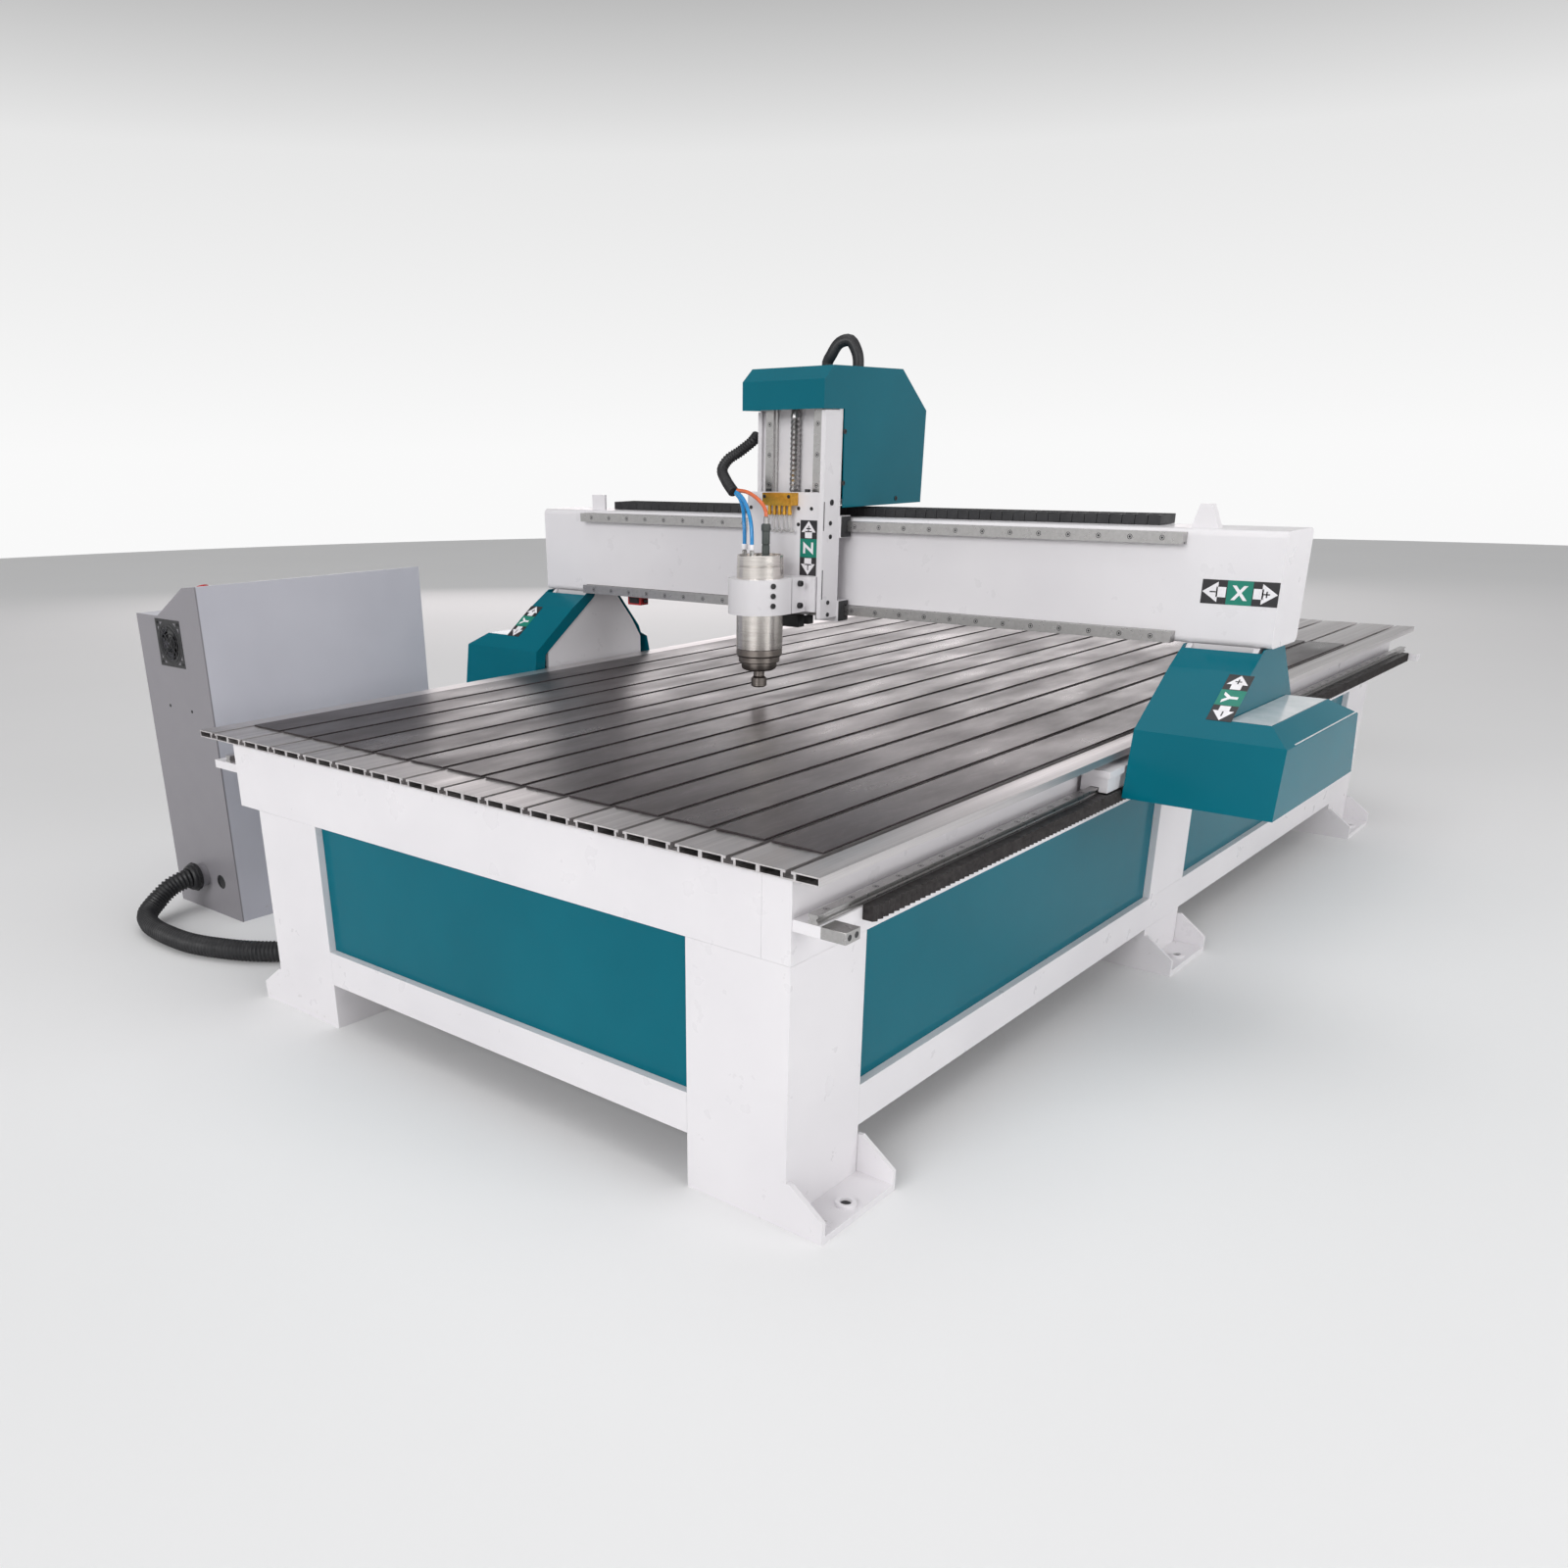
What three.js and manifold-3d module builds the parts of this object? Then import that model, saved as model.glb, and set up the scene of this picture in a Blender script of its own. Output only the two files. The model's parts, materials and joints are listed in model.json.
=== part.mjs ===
// A gantry CNC router for sheet wood: welded bed on six legs, T-slot deck, travelling gantry,
// spindle head on X, Y and Z slides, and a free-standing control cabinet joined by a conduit.
// Millimetres, +Z up. X runs along the gantry, Y runs back along the deck.
// While building, x = 0 is the deck's centre line, y = 0 its front edge and z = 0 the floor.
import * as THREE from "three";
import { mergeVertices } from "three/addons/utils/BufferGeometryUtils.js";
import Module from "manifold-3d";

const wasm = await Module();
wasm.setup();

// ---------------------------------------------------------------- driving dimensions
const SEAM = 0.3; // gap kept between two pieces that touch
const RUN = 0.8; // running clearance of a sliding block round its rail

// deck
const DECK_W = 1500;
const DECK_L = 3025;
const DECK_T = 13;
const DECK_TOP = 555;
const SLOT_PITCH = 100;
const SLOT_MOUTH = 9;
const SLOT_THROAT = 17;
const SLOT_LIP = 4;
const SLOT_FLOOR = 2.5;
const CHAMBER_W = 34;
const CHAMBER_WALL = 2;
const SHEET_T = 3; // soft plastic sheet on the deck
const SHEET_FRONT = 88;
const SHEET_REAR = 505;
const SHEET_GAP = 12;
const SHEET_WEB = 6;

// bed frame
const BED_HALF = 700; // outer faces of the side beams
const BED_FRONT = 10;
const BED_REAR = 2995;
const LEFT_BEAM_FRONT = 40;
const BEAM_H = 126;
const SIDE_BEAM_W = 50;
const CROSS_BEAM_D = 140;
const BEAM_WALL = 6;
const LEDGE_W = 45;
const LEDGE_T = 17;
const LEDGE_DROP = 71; // from the deck's top down to the ledge
const LEDGE_TOP = DECK_TOP - LEDGE_DROP;
const STOP_W = 40;
const STOP_L = 34;

// legs and feet
const LEG_W = 187;
const LEG_WALL = 6;
const LEFT_LEG_OUTER = 587; // the left legs stand further in than the right ones
const LEG_FRONTS = [10, 1308, 2636];
const FOOT_T = 12;
const FOOT_OUT = 66;
const FOOT_EXTRA_D = 9;
const GUSSET_T = 8;
const GUSSET_H = 78;
const GUSSET_LOW = 36;
const FOOT_HOLE_R = 9;
const RAIL_BAR_W = 50;
const RAIL_BAR_Z = 94;
const RAIL_BAR_H = 69;
const PANEL_T = 1.5;
const PANEL_RECESS = 14;
const PANEL_FLANGE = 16;

// linear rails, racks and drives
const RAIL_W = 20;
const RAIL_H = 20;
const Y_RAIL_W = 16;
const Y_RAIL_H = 14;
const Y_RAIL_X = 733;
const Y_RAIL_REAR = 12;
const RACK_W = 20;
const X_RACK_H = 20;
const Y_RACK_Z = LEDGE_TOP - 18;
const Y_RACK_H = 22;
const Y_RACK_FRONT = 112;
const TOOTH = 4;
const TOOTH_CLEAR = 0.6;
const TOOTH_PITCH = 14;
const Y_PINION_TEETH = 18;
const X_PINION_TEETH = 10;
const PINION_T = 12;

// gantry
const GANTRY_HALF = 920;
const GANTRY_FRONT = 1130;
const GANTRY_D = 140;
const GANTRY_LIFT = 169; // from the deck's top up to the beam
const GANTRY_Z = DECK_TOP + GANTRY_LIFT;
const GANTRY_H = 199;
const GANTRY_R = 12;
const GANTRY_WALL = 8;
const X_RAIL_L = 1516;
const X_RAIL_MIDS = [GANTRY_Z + 10, GANTRY_Z + 183];
const UPRIGHT_X = 770; // inner face of an upright
const UPRIGHT_T = 10;
const COVER_HALF = 1028; // outer faces of the upright covers
const COLUMN_HALF = 912;
const COVER_T = 2;

// head
const HEAD_X = -78;
const HEAD_SIDE_T = 10;
const HEAD_FRONT = 1028;
const HEAD_BOTTOM = GANTRY_Z - 1;
const HEAD_TOP = GANTRY_Z + 494;
const VISOR_Z = GANTRY_Z + 413;
const Z_RAIL_OUT = 62; // from the head's middle to each Z rail
const HEAD_MARGIN = 40; // from a Z rail's middle out to the head's side
const HEAD_HALF = Z_RAIL_OUT + HEAD_MARGIN;
const Z_RAIL_FACE = 1058;
const SCREW_R = 11;
const SCREW_LEAD = 10;
const PLATE_T = 18;
const PLATE_BOTTOM = GANTRY_Z + 11;
const PLATE_TOP = GANTRY_Z + 253;

// spindle
const SPINDLE_X = -80;
const SPINDLE_Y = 952;
const SPINDLE_R = 50;
const SPINDLE_BOTTOM = GANTRY_Z - 81;
const SPINDLE_TOP = GANTRY_Z + 132;
const CLAMP_BOTTOM = GANTRY_Z + 13;
const CLAMP_TOP = GANTRY_Z + 85;
const CLAMP_R = 68;
const COLLET_BOTTOM = GANTRY_Z - 144;
const COLLET_BORE_R = 6.5;

// control cabinet
const CAB_X = -1104; // face towards the bed
const CAB_D = 282;
const CAB_FRONT = 228;
const CAB_W = 625;
const CAB_DESK_Z = 716;
const CAB_TOP = 797;
const CAB_WALL = 2;
const DOOR_T = 3;
const FAN_SIZE = 104;
const CONDUIT_R = 24;

// ---------------------------------------------------------------- finishes
const finish = (color, roughness, metalness) =>
  new THREE.MeshStandardMaterial({ color, roughness, metalness });
const WHITE = () => finish(0xf0eef0, 0.4, 0.1);
const TEAL = () => finish(0x00707f, 0.25, 0.1);
const GREY = () => finish(0xb9bcc2, 0.5, 0.1);
const ALUMINIUM = () => finish(0xb8b4b4, 0.35, 0.9);
const STEEL = () => finish(0x8f8b8c, 0.3, 0.95);
const BLACK = () => finish(0x17171a, 0.5, 0.1);
const SHEET = () => finish(0x4a4144, 0.35, 0);
const BRASS = () => finish(0xc08a2a, 0.35, 0.8);
const RED = () => finish(0xc01818, 0.4, 0);

// ---------------------------------------------------------------- shape helpers
const X_AXIS = new THREE.Vector3(1, 0, 0);
const Y_AXIS = new THREE.Vector3(0, 1, 0);
const Z_AXIS = new THREE.Vector3(0, 0, 1);

function box(x0, x1, y0, y1, z0, z1) {
  return new THREE.BoxGeometry(x1 - x0, y1 - y0, z1 - z0).translate(
    (x0 + x1) / 2,
    (y0 + y1) / 2,
    (z0 + z1) / 2,
  );
}

function outline(points) {
  return Array.isArray(points)
    ? new THREE.Shape(points.map(([u, v]) => new THREE.Vector2(u, v)))
    : points;
}

function extrude(points, depth, holes = []) {
  const shape = outline(points);
  shape.holes.push(...holes.map(outline));
  const options = { depth, bevelEnabled: false, curveSegments: 6 };
  return new THREE.ExtrudeGeometry(shape, options);
}

// Outline in (y, z), run along X.
function prismX(points, x0, x1, holes) {
  const turn = new THREE.Matrix4().makeBasis(Y_AXIS, Z_AXIS, X_AXIS);
  return extrude(points, x1 - x0, holes).applyMatrix4(turn).translate(x0, 0, 0);
}

// Outline in (x, z), run along Y.
function prismY(points, y0, y1, holes) {
  return extrude(points, y1 - y0, holes)
    .rotateX(Math.PI / 2)
    .translate(0, y1, 0);
}

// Outline in (x, y), run along Z.
function prismZ(points, z0, z1, holes) {
  return extrude(points, z1 - z0, holes).translate(0, 0, z0);
}

function rod(axis, x, y, z, radius, length, sides = 24) {
  const shape = new THREE.CylinderGeometry(radius, radius, length, sides);
  if (axis === "x") shape.rotateZ(-Math.PI / 2);
  if (axis === "z") shape.rotateX(Math.PI / 2);
  return shape.translate(x, y, z);
}

// A turned shape from (radius, z) pairs, standing on Z.
function turned(pairs, x, y, sides = 32) {
  const profile = pairs.map(([r, z]) => new THREE.Vector2(r, z));
  return new THREE.LatheGeometry(profile, sides)
    .rotateX(Math.PI / 2)
    .translate(x, y, 0);
}

function roundedRect(u0, u1, v0, v1, r) {
  const s = new THREE.Shape();
  s.moveTo(u0 + r, v0);
  s.lineTo(u1 - r, v0);
  s.absarc(u1 - r, v0 + r, r, -Math.PI / 2, 0);
  s.lineTo(u1, v1 - r);
  s.absarc(u1 - r, v1 - r, r, 0, Math.PI / 2);
  s.lineTo(u0 + r, v1);
  s.absarc(u0 + r, v1 - r, r, Math.PI / 2, Math.PI);
  s.lineTo(u0, v0 + r);
  s.absarc(u0 + r, v0 + r, r, Math.PI, 1.5 * Math.PI);
  return s;
}

// A gear outline about the origin: pointed teeth, first tooth on the u axis.
function gearOutline(teeth, pitchR) {
  const points = [];
  for (let i = 0; i < teeth; i++) {
    for (const [share, r] of [
      [0, pitchR + TOOTH / 2 - TOOTH_CLEAR],
      [0.5, pitchR - TOOTH / 2 - TOOTH_CLEAR],
    ]) {
      const a = ((i + share) / teeth) * 2 * Math.PI;
      points.push([r * Math.cos(a), r * Math.sin(a)]);
    }
  }
  return points;
}

// A tube of one radius along a smooth curve through the points.
function tube(points, radius, steps, sides = 10) {
  const section = new THREE.Shape();
  section.absarc(0, 0, radius, 0, 2 * Math.PI);
  const path = new THREE.CatmullRomCurve3(
    points.map((p) => new THREE.Vector3(...p)),
  );
  return new THREE.ExtrudeGeometry(section, {
    steps,
    curveSegments: sides,
    bevelEnabled: false,
    extrudePath: path,
  });
}

function solidOf(geometry) {
  const bare = geometry.clone();
  bare.deleteAttribute("normal");
  bare.deleteAttribute("uv");
  const merged = mergeVertices(bare, 1e-3);
  return new wasm.Manifold(
    new wasm.Mesh({
      numProp: 3,
      vertProperties: merged.attributes.position.array,
      triVerts: new Uint32Array(merged.index.array),
    }),
  );
}

function geometryOf(solid) {
  const mesh = solid.getMesh();
  const geometry = new THREE.BufferGeometry();
  const positions = new THREE.BufferAttribute(mesh.vertProperties, mesh.numProp);
  geometry.setAttribute("position", positions);
  geometry.setIndex(new THREE.BufferAttribute(mesh.triVerts, 1));
  return geometry;
}

const joined = (...shapes) =>
  geometryOf(shapes.map(solidOf).reduce((a, b) => a.add(b)));
const cut = (shape, ...tools) =>
  geometryOf(tools.map(solidOf).reduce((a, b) => a.subtract(b), solidOf(shape)));

// The same shape on the other side of x = 0.
function mirrored(geometry) {
  const copy = geometry.index ? geometry.toNonIndexed() : geometry.clone();
  const p = copy.attributes.position;
  for (let i = 0; i < p.count; i += 3) {
    const corner = [0, 1, 2].map((k) => new THREE.Vector3().fromBufferAttribute(p, i + k));
    [corner[0], corner[2], corner[1]].forEach((v, k) => p.setXYZ(i + k, -v.x, v.y, v.z));
  }
  copy.deleteAttribute("normal");
  return copy;
}

const root = new THREE.Group();
const machine = new THREE.Group();
root.add(machine);

function add(name, geometry, material) {
  const mesh = new THREE.Mesh(geometry, material);
  mesh.name = name;
  machine.add(mesh);
  return mesh;
}

// A right-hand piece and its mirror image on the left.
function addPair(name, geometry, material) {
  add("right_" + name, geometry, material());
  add("left_" + name, mirrored(geometry), material());
}

// ---------------------------------------------------------------- bed frame
const DECK_Z = DECK_TOP - DECK_T; // underside of the deck
const BEAM_TOP = DECK_Z - SEAM;
const BEAM_Z = BEAM_TOP - BEAM_H;
const LEG_TOP = BEAM_Z - SEAM;
const CROSS_HALF = BED_HALF - SIDE_BEAM_W - SEAM;

// A folded channel across the bed, open towards its `open` side (+1 back, -1 front).
function crossBeam(y0, depth, open) {
  const w = BEAM_WALL;
  const inner = box(
    -CROSS_HALF + w,
    CROSS_HALF - w,
    open > 0 ? y0 + w : y0 - w,
    open > 0 ? y0 + depth + w : y0 + depth - w,
    BEAM_Z + w,
    BEAM_TOP - w,
  );
  return cut(box(-CROSS_HALF, CROSS_HALF, y0, y0 + depth, BEAM_Z, BEAM_TOP), inner);
}

// A right-hand side beam: channel open inwards, ledge for the rail and two hard stops.
function sideBeam(front) {
  const w = BEAM_WALL;
  const inX = BED_HALF - SIDE_BEAM_W;
  const channel = cut(
    box(inX, BED_HALF, front, BED_REAR, BEAM_Z, BEAM_TOP),
    box(inX - w, BED_HALF - w, front + w, BED_REAR - w, BEAM_Z + w, BEAM_TOP - w),
  );
  const ledge = box(
    BED_HALF - w / 2,
    BED_HALF + LEDGE_W,
    front + 2,
    BED_REAR,
    LEDGE_TOP - LEDGE_T,
    LEDGE_TOP,
  );
  const stops = [front + 2, BED_REAR - STOP_L].map((y) => {
    const outer = BED_HALF + LEDGE_W + STOP_W;
    const block = box(BED_HALF + LEDGE_W / 2, outer, y, y + STOP_L, LEDGE_TOP - LEDGE_T, LEDGE_TOP - 1);
    const holes = [0.3, 0.7].map((share) =>
      rod("x", outer, y + share * STOP_L, LEDGE_TOP - LEDGE_T / 2, 3.5, STOP_W, 12),
    );
    return cut(block, ...holes);
  });
  return joined(channel, ledge, ...stops);
}

add("front_beam", crossBeam(BED_FRONT, CROSS_BEAM_D, 1), WHITE());
add("rear_beam", crossBeam(BED_REAR - CROSS_BEAM_D, CROSS_BEAM_D, -1), WHITE());
add("right_side_beam", sideBeam(BED_FRONT), WHITE());
add("left_side_beam", mirrored(sideBeam(LEFT_BEAM_FRONT)), WHITE());

// A leg whose outer face is at x = outer, with its foot plate and two gussets outwards.
function leg(outer, y0, notch) {
  const inner = outer - LEG_W;
  const w = LEG_WALL;
  const footOut = outer + FOOT_OUT;
  const y1 = y0 + LEG_W;
  const plateY1 = y1 + FOOT_EXTRA_D;
  const side = [
    [outer - w / 2, FOOT_T / 2],
    [footOut, FOOT_T / 2],
    [footOut, GUSSET_LOW],
    [outer + GUSSET_T, GUSSET_H],
    [outer - w / 2, GUSSET_H],
  ];
  const holeX = outer + FOOT_OUT / 2 + 8;
  const holeY = (y0 + plateY1) / 2;
  const tools = [rod("z", holeX, holeY, FOOT_T, FOOT_HOLE_R, 6 * FOOT_T, 16)];
  if (notch)
    tools.push(
      box(
        outer - RAIL_BAR_W - SEAM,
        outer + 1,
        y0 - 1,
        y1 + 1,
        RAIL_BAR_Z - SEAM,
        RAIL_BAR_Z + RAIL_BAR_H + SEAM,
      ),
    );
  return cut(
    joined(
      cut(
        box(inner, outer, y0, y1, 0, LEG_TOP),
        box(inner + w, outer - w, y0 + w, y1 - w, FOOT_T, LEG_TOP + 1),
      ),
      box(outer - w, footOut, y0, plateY1, 0, FOOT_T),
      prismY(side, y0, y0 + GUSSET_T),
      prismY(side, plateY1 - GUSSET_T, plateY1),
      turned([[0, FOOT_T / 2], [17, FOOT_T / 2], [17, FOOT_T + 4], [0, FOOT_T + 4]], holeX, holeY, 16),
    ),
    ...tools,
  );
}

["front", "middle", "rear"].forEach((place, i) => {
  const notch = i === 1;
  add(place + "_right_leg", leg(BED_HALF, LEG_FRONTS[i], notch), WHITE());
  add(place + "_left_leg", mirrored(leg(LEFT_LEG_OUTER, LEG_FRONTS[i], notch)), WHITE());
});

const RIGHT_LEG_IN = BED_HALF - LEG_W;
const LEFT_LEG_IN = -(LEFT_LEG_OUTER - LEG_W);
const RAIL_BAR_TOP = RAIL_BAR_Z + RAIL_BAR_H;
const LEG_BACKS = LEG_FRONTS.map((y) => y + LEG_W);

// Lower tie bars between the legs.
function tieBar(x0, x1, y0, y1, along) {
  const w = BEAM_WALL;
  const z0 = RAIL_BAR_Z + w;
  const z1 = RAIL_BAR_TOP - w;
  const bore = along === "y"
    ? box(x0 + w, x1 - w, y0 - 1, y1 + 1, z0, z1)
    : box(x0 - 1, x1 + 1, y0 + w, y1 - w, z0, z1);
  return cut(box(x0, x1, y0, y1, RAIL_BAR_Z, RAIL_BAR_TOP), bore);
}
const barX = [LEFT_LEG_IN + SEAM, RIGHT_LEG_IN - SEAM];
const barY = [LEG_BACKS[0] + SEAM, LEG_FRONTS[2] - SEAM];
add("front_tie_bar", tieBar(...barX, BED_FRONT, BED_FRONT + RAIL_BAR_W, "x"), WHITE());
add("rear_tie_bar", tieBar(...barX, LEG_BACKS[2] - RAIL_BAR_W, LEG_BACKS[2], "x"), WHITE());
add("right_tie_bar", tieBar(BED_HALF - RAIL_BAR_W, BED_HALF, ...barY, "y"), WHITE());
add("left_tie_bar", tieBar(-LEFT_LEG_OUTER, -LEFT_LEG_OUTER + RAIL_BAR_W, ...barY, "y"), WHITE());

// Sheet-metal panels: trays with their edges folded inwards, set back from the frame's face.
const PANEL_Z = [RAIL_BAR_TOP + SEAM, LEG_TOP - SEAM];
function tray(u0, u1) {
  const t = PANEL_T;
  const rim = [
    [u0, 0],
    [u1, 0],
    [u1, PANEL_FLANGE],
    [u1 - t, PANEL_FLANGE],
    [u1 - t, t],
    [u0 + t, t],
    [u0 + t, PANEL_FLANGE],
    [u0, PANEL_FLANGE],
  ];
  return rim;
}
const panelFront = tray(LEFT_LEG_IN + SEAM, RIGHT_LEG_IN - SEAM);
const faceY = BED_FRONT + PANEL_RECESS;
const backY = LEG_BACKS[2] - PANEL_RECESS;
add(
  "front_panel",
  prismZ(panelFront.map(([x, d]) => [x, faceY + d]), ...PANEL_Z),
  TEAL(),
);
add(
  "rear_panel",
  prismZ(panelFront.map(([x, d]) => [x, backY - d]).reverse(), ...PANEL_Z),
  TEAL(),
);
[["front", 0], ["rear", 1]].forEach(([place, i]) => {
  const span = tray(LEG_BACKS[i] + SEAM, LEG_FRONTS[i + 1] - SEAM);
  const right = BED_HALF - PANEL_RECESS;
  const left = -(LEFT_LEG_OUTER - PANEL_RECESS);
  add(
    "right_" + place + "_panel",
    prismZ(span.map(([y, d]) => [right - d, y]), ...PANEL_Z),
    TEAL(),
  );
  add(
    "left_" + place + "_panel",
    prismZ(span.map(([y, d]) => [left + d, y]).reverse(), ...PANEL_Z),
    TEAL(),
  );
});

// ---------------------------------------------------------------- deck
const SLOTS = Math.round(DECK_W / SLOT_PITCH);
const slotX = Array.from({ length: SLOTS }, (_, i) => (i - (SLOTS - 1) / 2) * SLOT_PITCH);

function deckOutline() {
  const points = [[-DECK_W / 2, DECK_Z], [DECK_W / 2, DECK_Z], [DECK_W / 2, DECK_TOP]];
  for (const x of [...slotX].reverse()) {
    const lip = DECK_TOP - SLOT_LIP;
    const floor = DECK_Z + SLOT_FLOOR;
    points.push(
      [x + SLOT_MOUTH / 2, DECK_TOP],
      [x + SLOT_MOUTH / 2, lip],
      [x + SLOT_THROAT / 2, lip],
      [x + SLOT_THROAT / 2, floor],
      [x - SLOT_THROAT / 2, floor],
      [x - SLOT_THROAT / 2, lip],
      [x - SLOT_MOUTH / 2, lip],
      [x - SLOT_MOUTH / 2, DECK_TOP],
    );
  }
  points.push([-DECK_W / 2, DECK_TOP]);
  return points;
}

function chambers() {
  const z0 = DECK_Z + CHAMBER_WALL;
  const z1 = DECK_TOP - CHAMBER_WALL;
  const spans = [];
  const near = SLOT_THROAT / 2 + 2 * CHAMBER_WALL;
  for (const x of slotX.slice(0, -1)) {
    spans.push([x + near, x + near + CHAMBER_W]);
    spans.push([x + SLOT_PITCH - near - CHAMBER_W, x + SLOT_PITCH - near]);
  }
  spans.push([-DECK_W / 2 + CHAMBER_WALL, slotX[0] - near]);
  spans.push([slotX[SLOTS - 1] + near, DECK_W / 2 - CHAMBER_WALL]);
  return spans.map(([a, b]) => [[a, z0], [b, z0], [b, z1], [a, z1]]);
}
const deckBlank = prismY(deckOutline(), 0, DECK_L);
const deckChambers = chambers().map((c) => prismY(c, -1, DECK_L + 1));
add("t_slot_deck", cut(deckBlank, ...deckChambers), ALUMINIUM());

// The sheet is cut through over every slot and stays joined at its rear edge.
const sheetRear = DECK_L - SHEET_REAR;
function sheetOutline() {
  const half = SHEET_GAP / 2;
  const points = [];
  for (const x of slotX.slice(0, -1)) {
    points.push([x + half, sheetRear - SHEET_WEB], [x + half, SHEET_FRONT]);
    points.push([x + SLOT_PITCH - half, SHEET_FRONT]);
    points.push([x + SLOT_PITCH - half, sheetRear - SHEET_WEB]);
  }
  points.push([slotX[SLOTS - 1] - half, sheetRear], [slotX[0] + half, sheetRear]);
  return points;
}
const sheetZ = DECK_TOP + SEAM;
add("deck_sheet", prismZ(sheetOutline(), sheetZ, sheetZ + SHEET_T), SHEET());

// ---------------------------------------------------------------- Y rails and racks
// Section of a profiled rail: foot, waist and head, (across, up) from its base middle.
function railSection(width, height) {
  const w = width / 2;
  const waist = w * 0.68;
  return [
    [-w, 0],
    [w, 0],
    [w, height * 0.3],
    [waist, height * 0.42],
    [waist, height * 0.6],
    [w, height * 0.75],
    [w, height],
    [-w, height],
    [-w, height * 0.75],
    [-waist, height * 0.6],
    [-waist, height * 0.42],
    [-w, height * 0.3],
  ];
}
const yRailZ = LEDGE_TOP + SEAM;
const railTop = yRailZ + Y_RAIL_H;
const yRail = (front) =>
  prismY(
    railSection(Y_RAIL_W, Y_RAIL_H).map(([u, v]) => [Y_RAIL_X + u, yRailZ + v]),
    front + 2,
    BED_REAR + Y_RAIL_REAR,
  );
add("right_y_rail", yRail(BED_FRONT), STEEL());
add("left_y_rail", mirrored(yRail(LEFT_BEAM_FRONT)), STEEL());

// Rack teeth face outwards; (along, across) from the rack's front end and back face.
function rackOutline(length) {
  const points = [[0, 0], [length, 0], [length, RACK_W - TOOTH]];
  const root0 = RACK_W - TOOTH;
  const count = Math.floor(length / TOOTH_PITCH - 0.1);
  for (let i = count - 1; i >= 0; i--)
    points.push([(i + 1) * TOOTH_PITCH, root0], [(i + 0.5) * TOOTH_PITCH, RACK_W]);
  points.push([0, root0]);
  return points;
}
const yRackX = BED_HALF + LEDGE_W + SEAM;
const yRackLength = BED_REAR - STOP_L - 4 - Y_RACK_FRONT;
addPair(
  "y_rack",
  prismZ(
    rackOutline(yRackLength).map(([a, b]) => [yRackX + b, Y_RACK_FRONT + a]).reverse(),
    Y_RACK_Z,
    Y_RACK_Z + Y_RACK_H,
  ),
  BLACK,
);

// ---------------------------------------------------------------- gantry
const GANTRY_BACK = GANTRY_FRONT + GANTRY_D;
const GANTRY_TOP = GANTRY_Z + GANTRY_H;
const STOP_LUG_X = 771;
const STOP_POST_X = -743;

const gantryShell = cut(
  prismX(
    roundedRect(GANTRY_FRONT, GANTRY_BACK, GANTRY_Z, GANTRY_TOP, GANTRY_R),
    -GANTRY_HALF,
    GANTRY_HALF,
  ),
  box(
    -GANTRY_HALF + GANTRY_WALL,
    GANTRY_HALF - GANTRY_WALL,
    GANTRY_FRONT + GANTRY_WALL,
    GANTRY_BACK - GANTRY_WALL,
    GANTRY_Z + GANTRY_WALL,
    GANTRY_TOP - GANTRY_WALL,
  ),
  box(-60, 60, GANTRY_BACK - 2 * GANTRY_WALL, GANTRY_BACK + 1, GANTRY_Z + 60, GANTRY_TOP - 60),
);
const lug = prismY(
  [[-25, -1], [25, -1], [7, 41], [-14, 41]].map(([u, v]) => [STOP_LUG_X + u, GANTRY_TOP + v]),
  GANTRY_FRONT + 14,
  GANTRY_FRONT + 34,
);
const post = box(
  STOP_POST_X - 22,
  STOP_POST_X + 22,
  GANTRY_FRONT + 20,
  GANTRY_FRONT + 26,
  GANTRY_TOP - 1,
  GANTRY_TOP + 36,
);
add("gantry_beam", joined(gantryShell, lug, post), WHITE());

const xRailBase = GANTRY_FRONT - SEAM;
["lower", "upper"].forEach((place, i) => {
  const section = railSection(RAIL_W, RAIL_H).map(([u, v]) => [xRailBase - v, X_RAIL_MIDS[i] + u]);
  add(place + "_x_rail", prismX(section, -X_RAIL_L / 2 - 11, X_RAIL_L / 2 - 11), STEEL());
});

// X rack along the back of the beam, teeth facing back.
const X_RACK_HALF = 763;
const xRackY = GANTRY_BACK + SEAM;
const xRackZ = GANTRY_Z + 156;
add(
  "x_rack",
  prismZ(
    rackOutline(2 * X_RACK_HALF).map(([a, b]) => [a - X_RACK_HALF, xRackY + b]),
    xRackZ,
    xRackZ + X_RACK_H,
  ),
  STEEL(),
);

// Cable tray with its drag chain on top of the beam.
const TRAY_X = [-729, 670];
const trayZ = GANTRY_TOP + SEAM;
const trayY = GANTRY_FRONT + 62;
add(
  "x_cable_chain",
  joined(
    box(...TRAY_X, trayY, trayY + 74, trayZ, trayZ + 3),
    box(...TRAY_X, trayY, trayY + 3, trayZ, trayZ + 16),
    box(...TRAY_X, trayY + 71, trayY + 74, trayZ, trayZ + 16),
    box(TRAY_X[0] + 30, TRAY_X[1] - 40, trayY + 12, trayY + 62, trayZ + 2, trayZ + 18),
  ),
  BLACK(),
);

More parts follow.
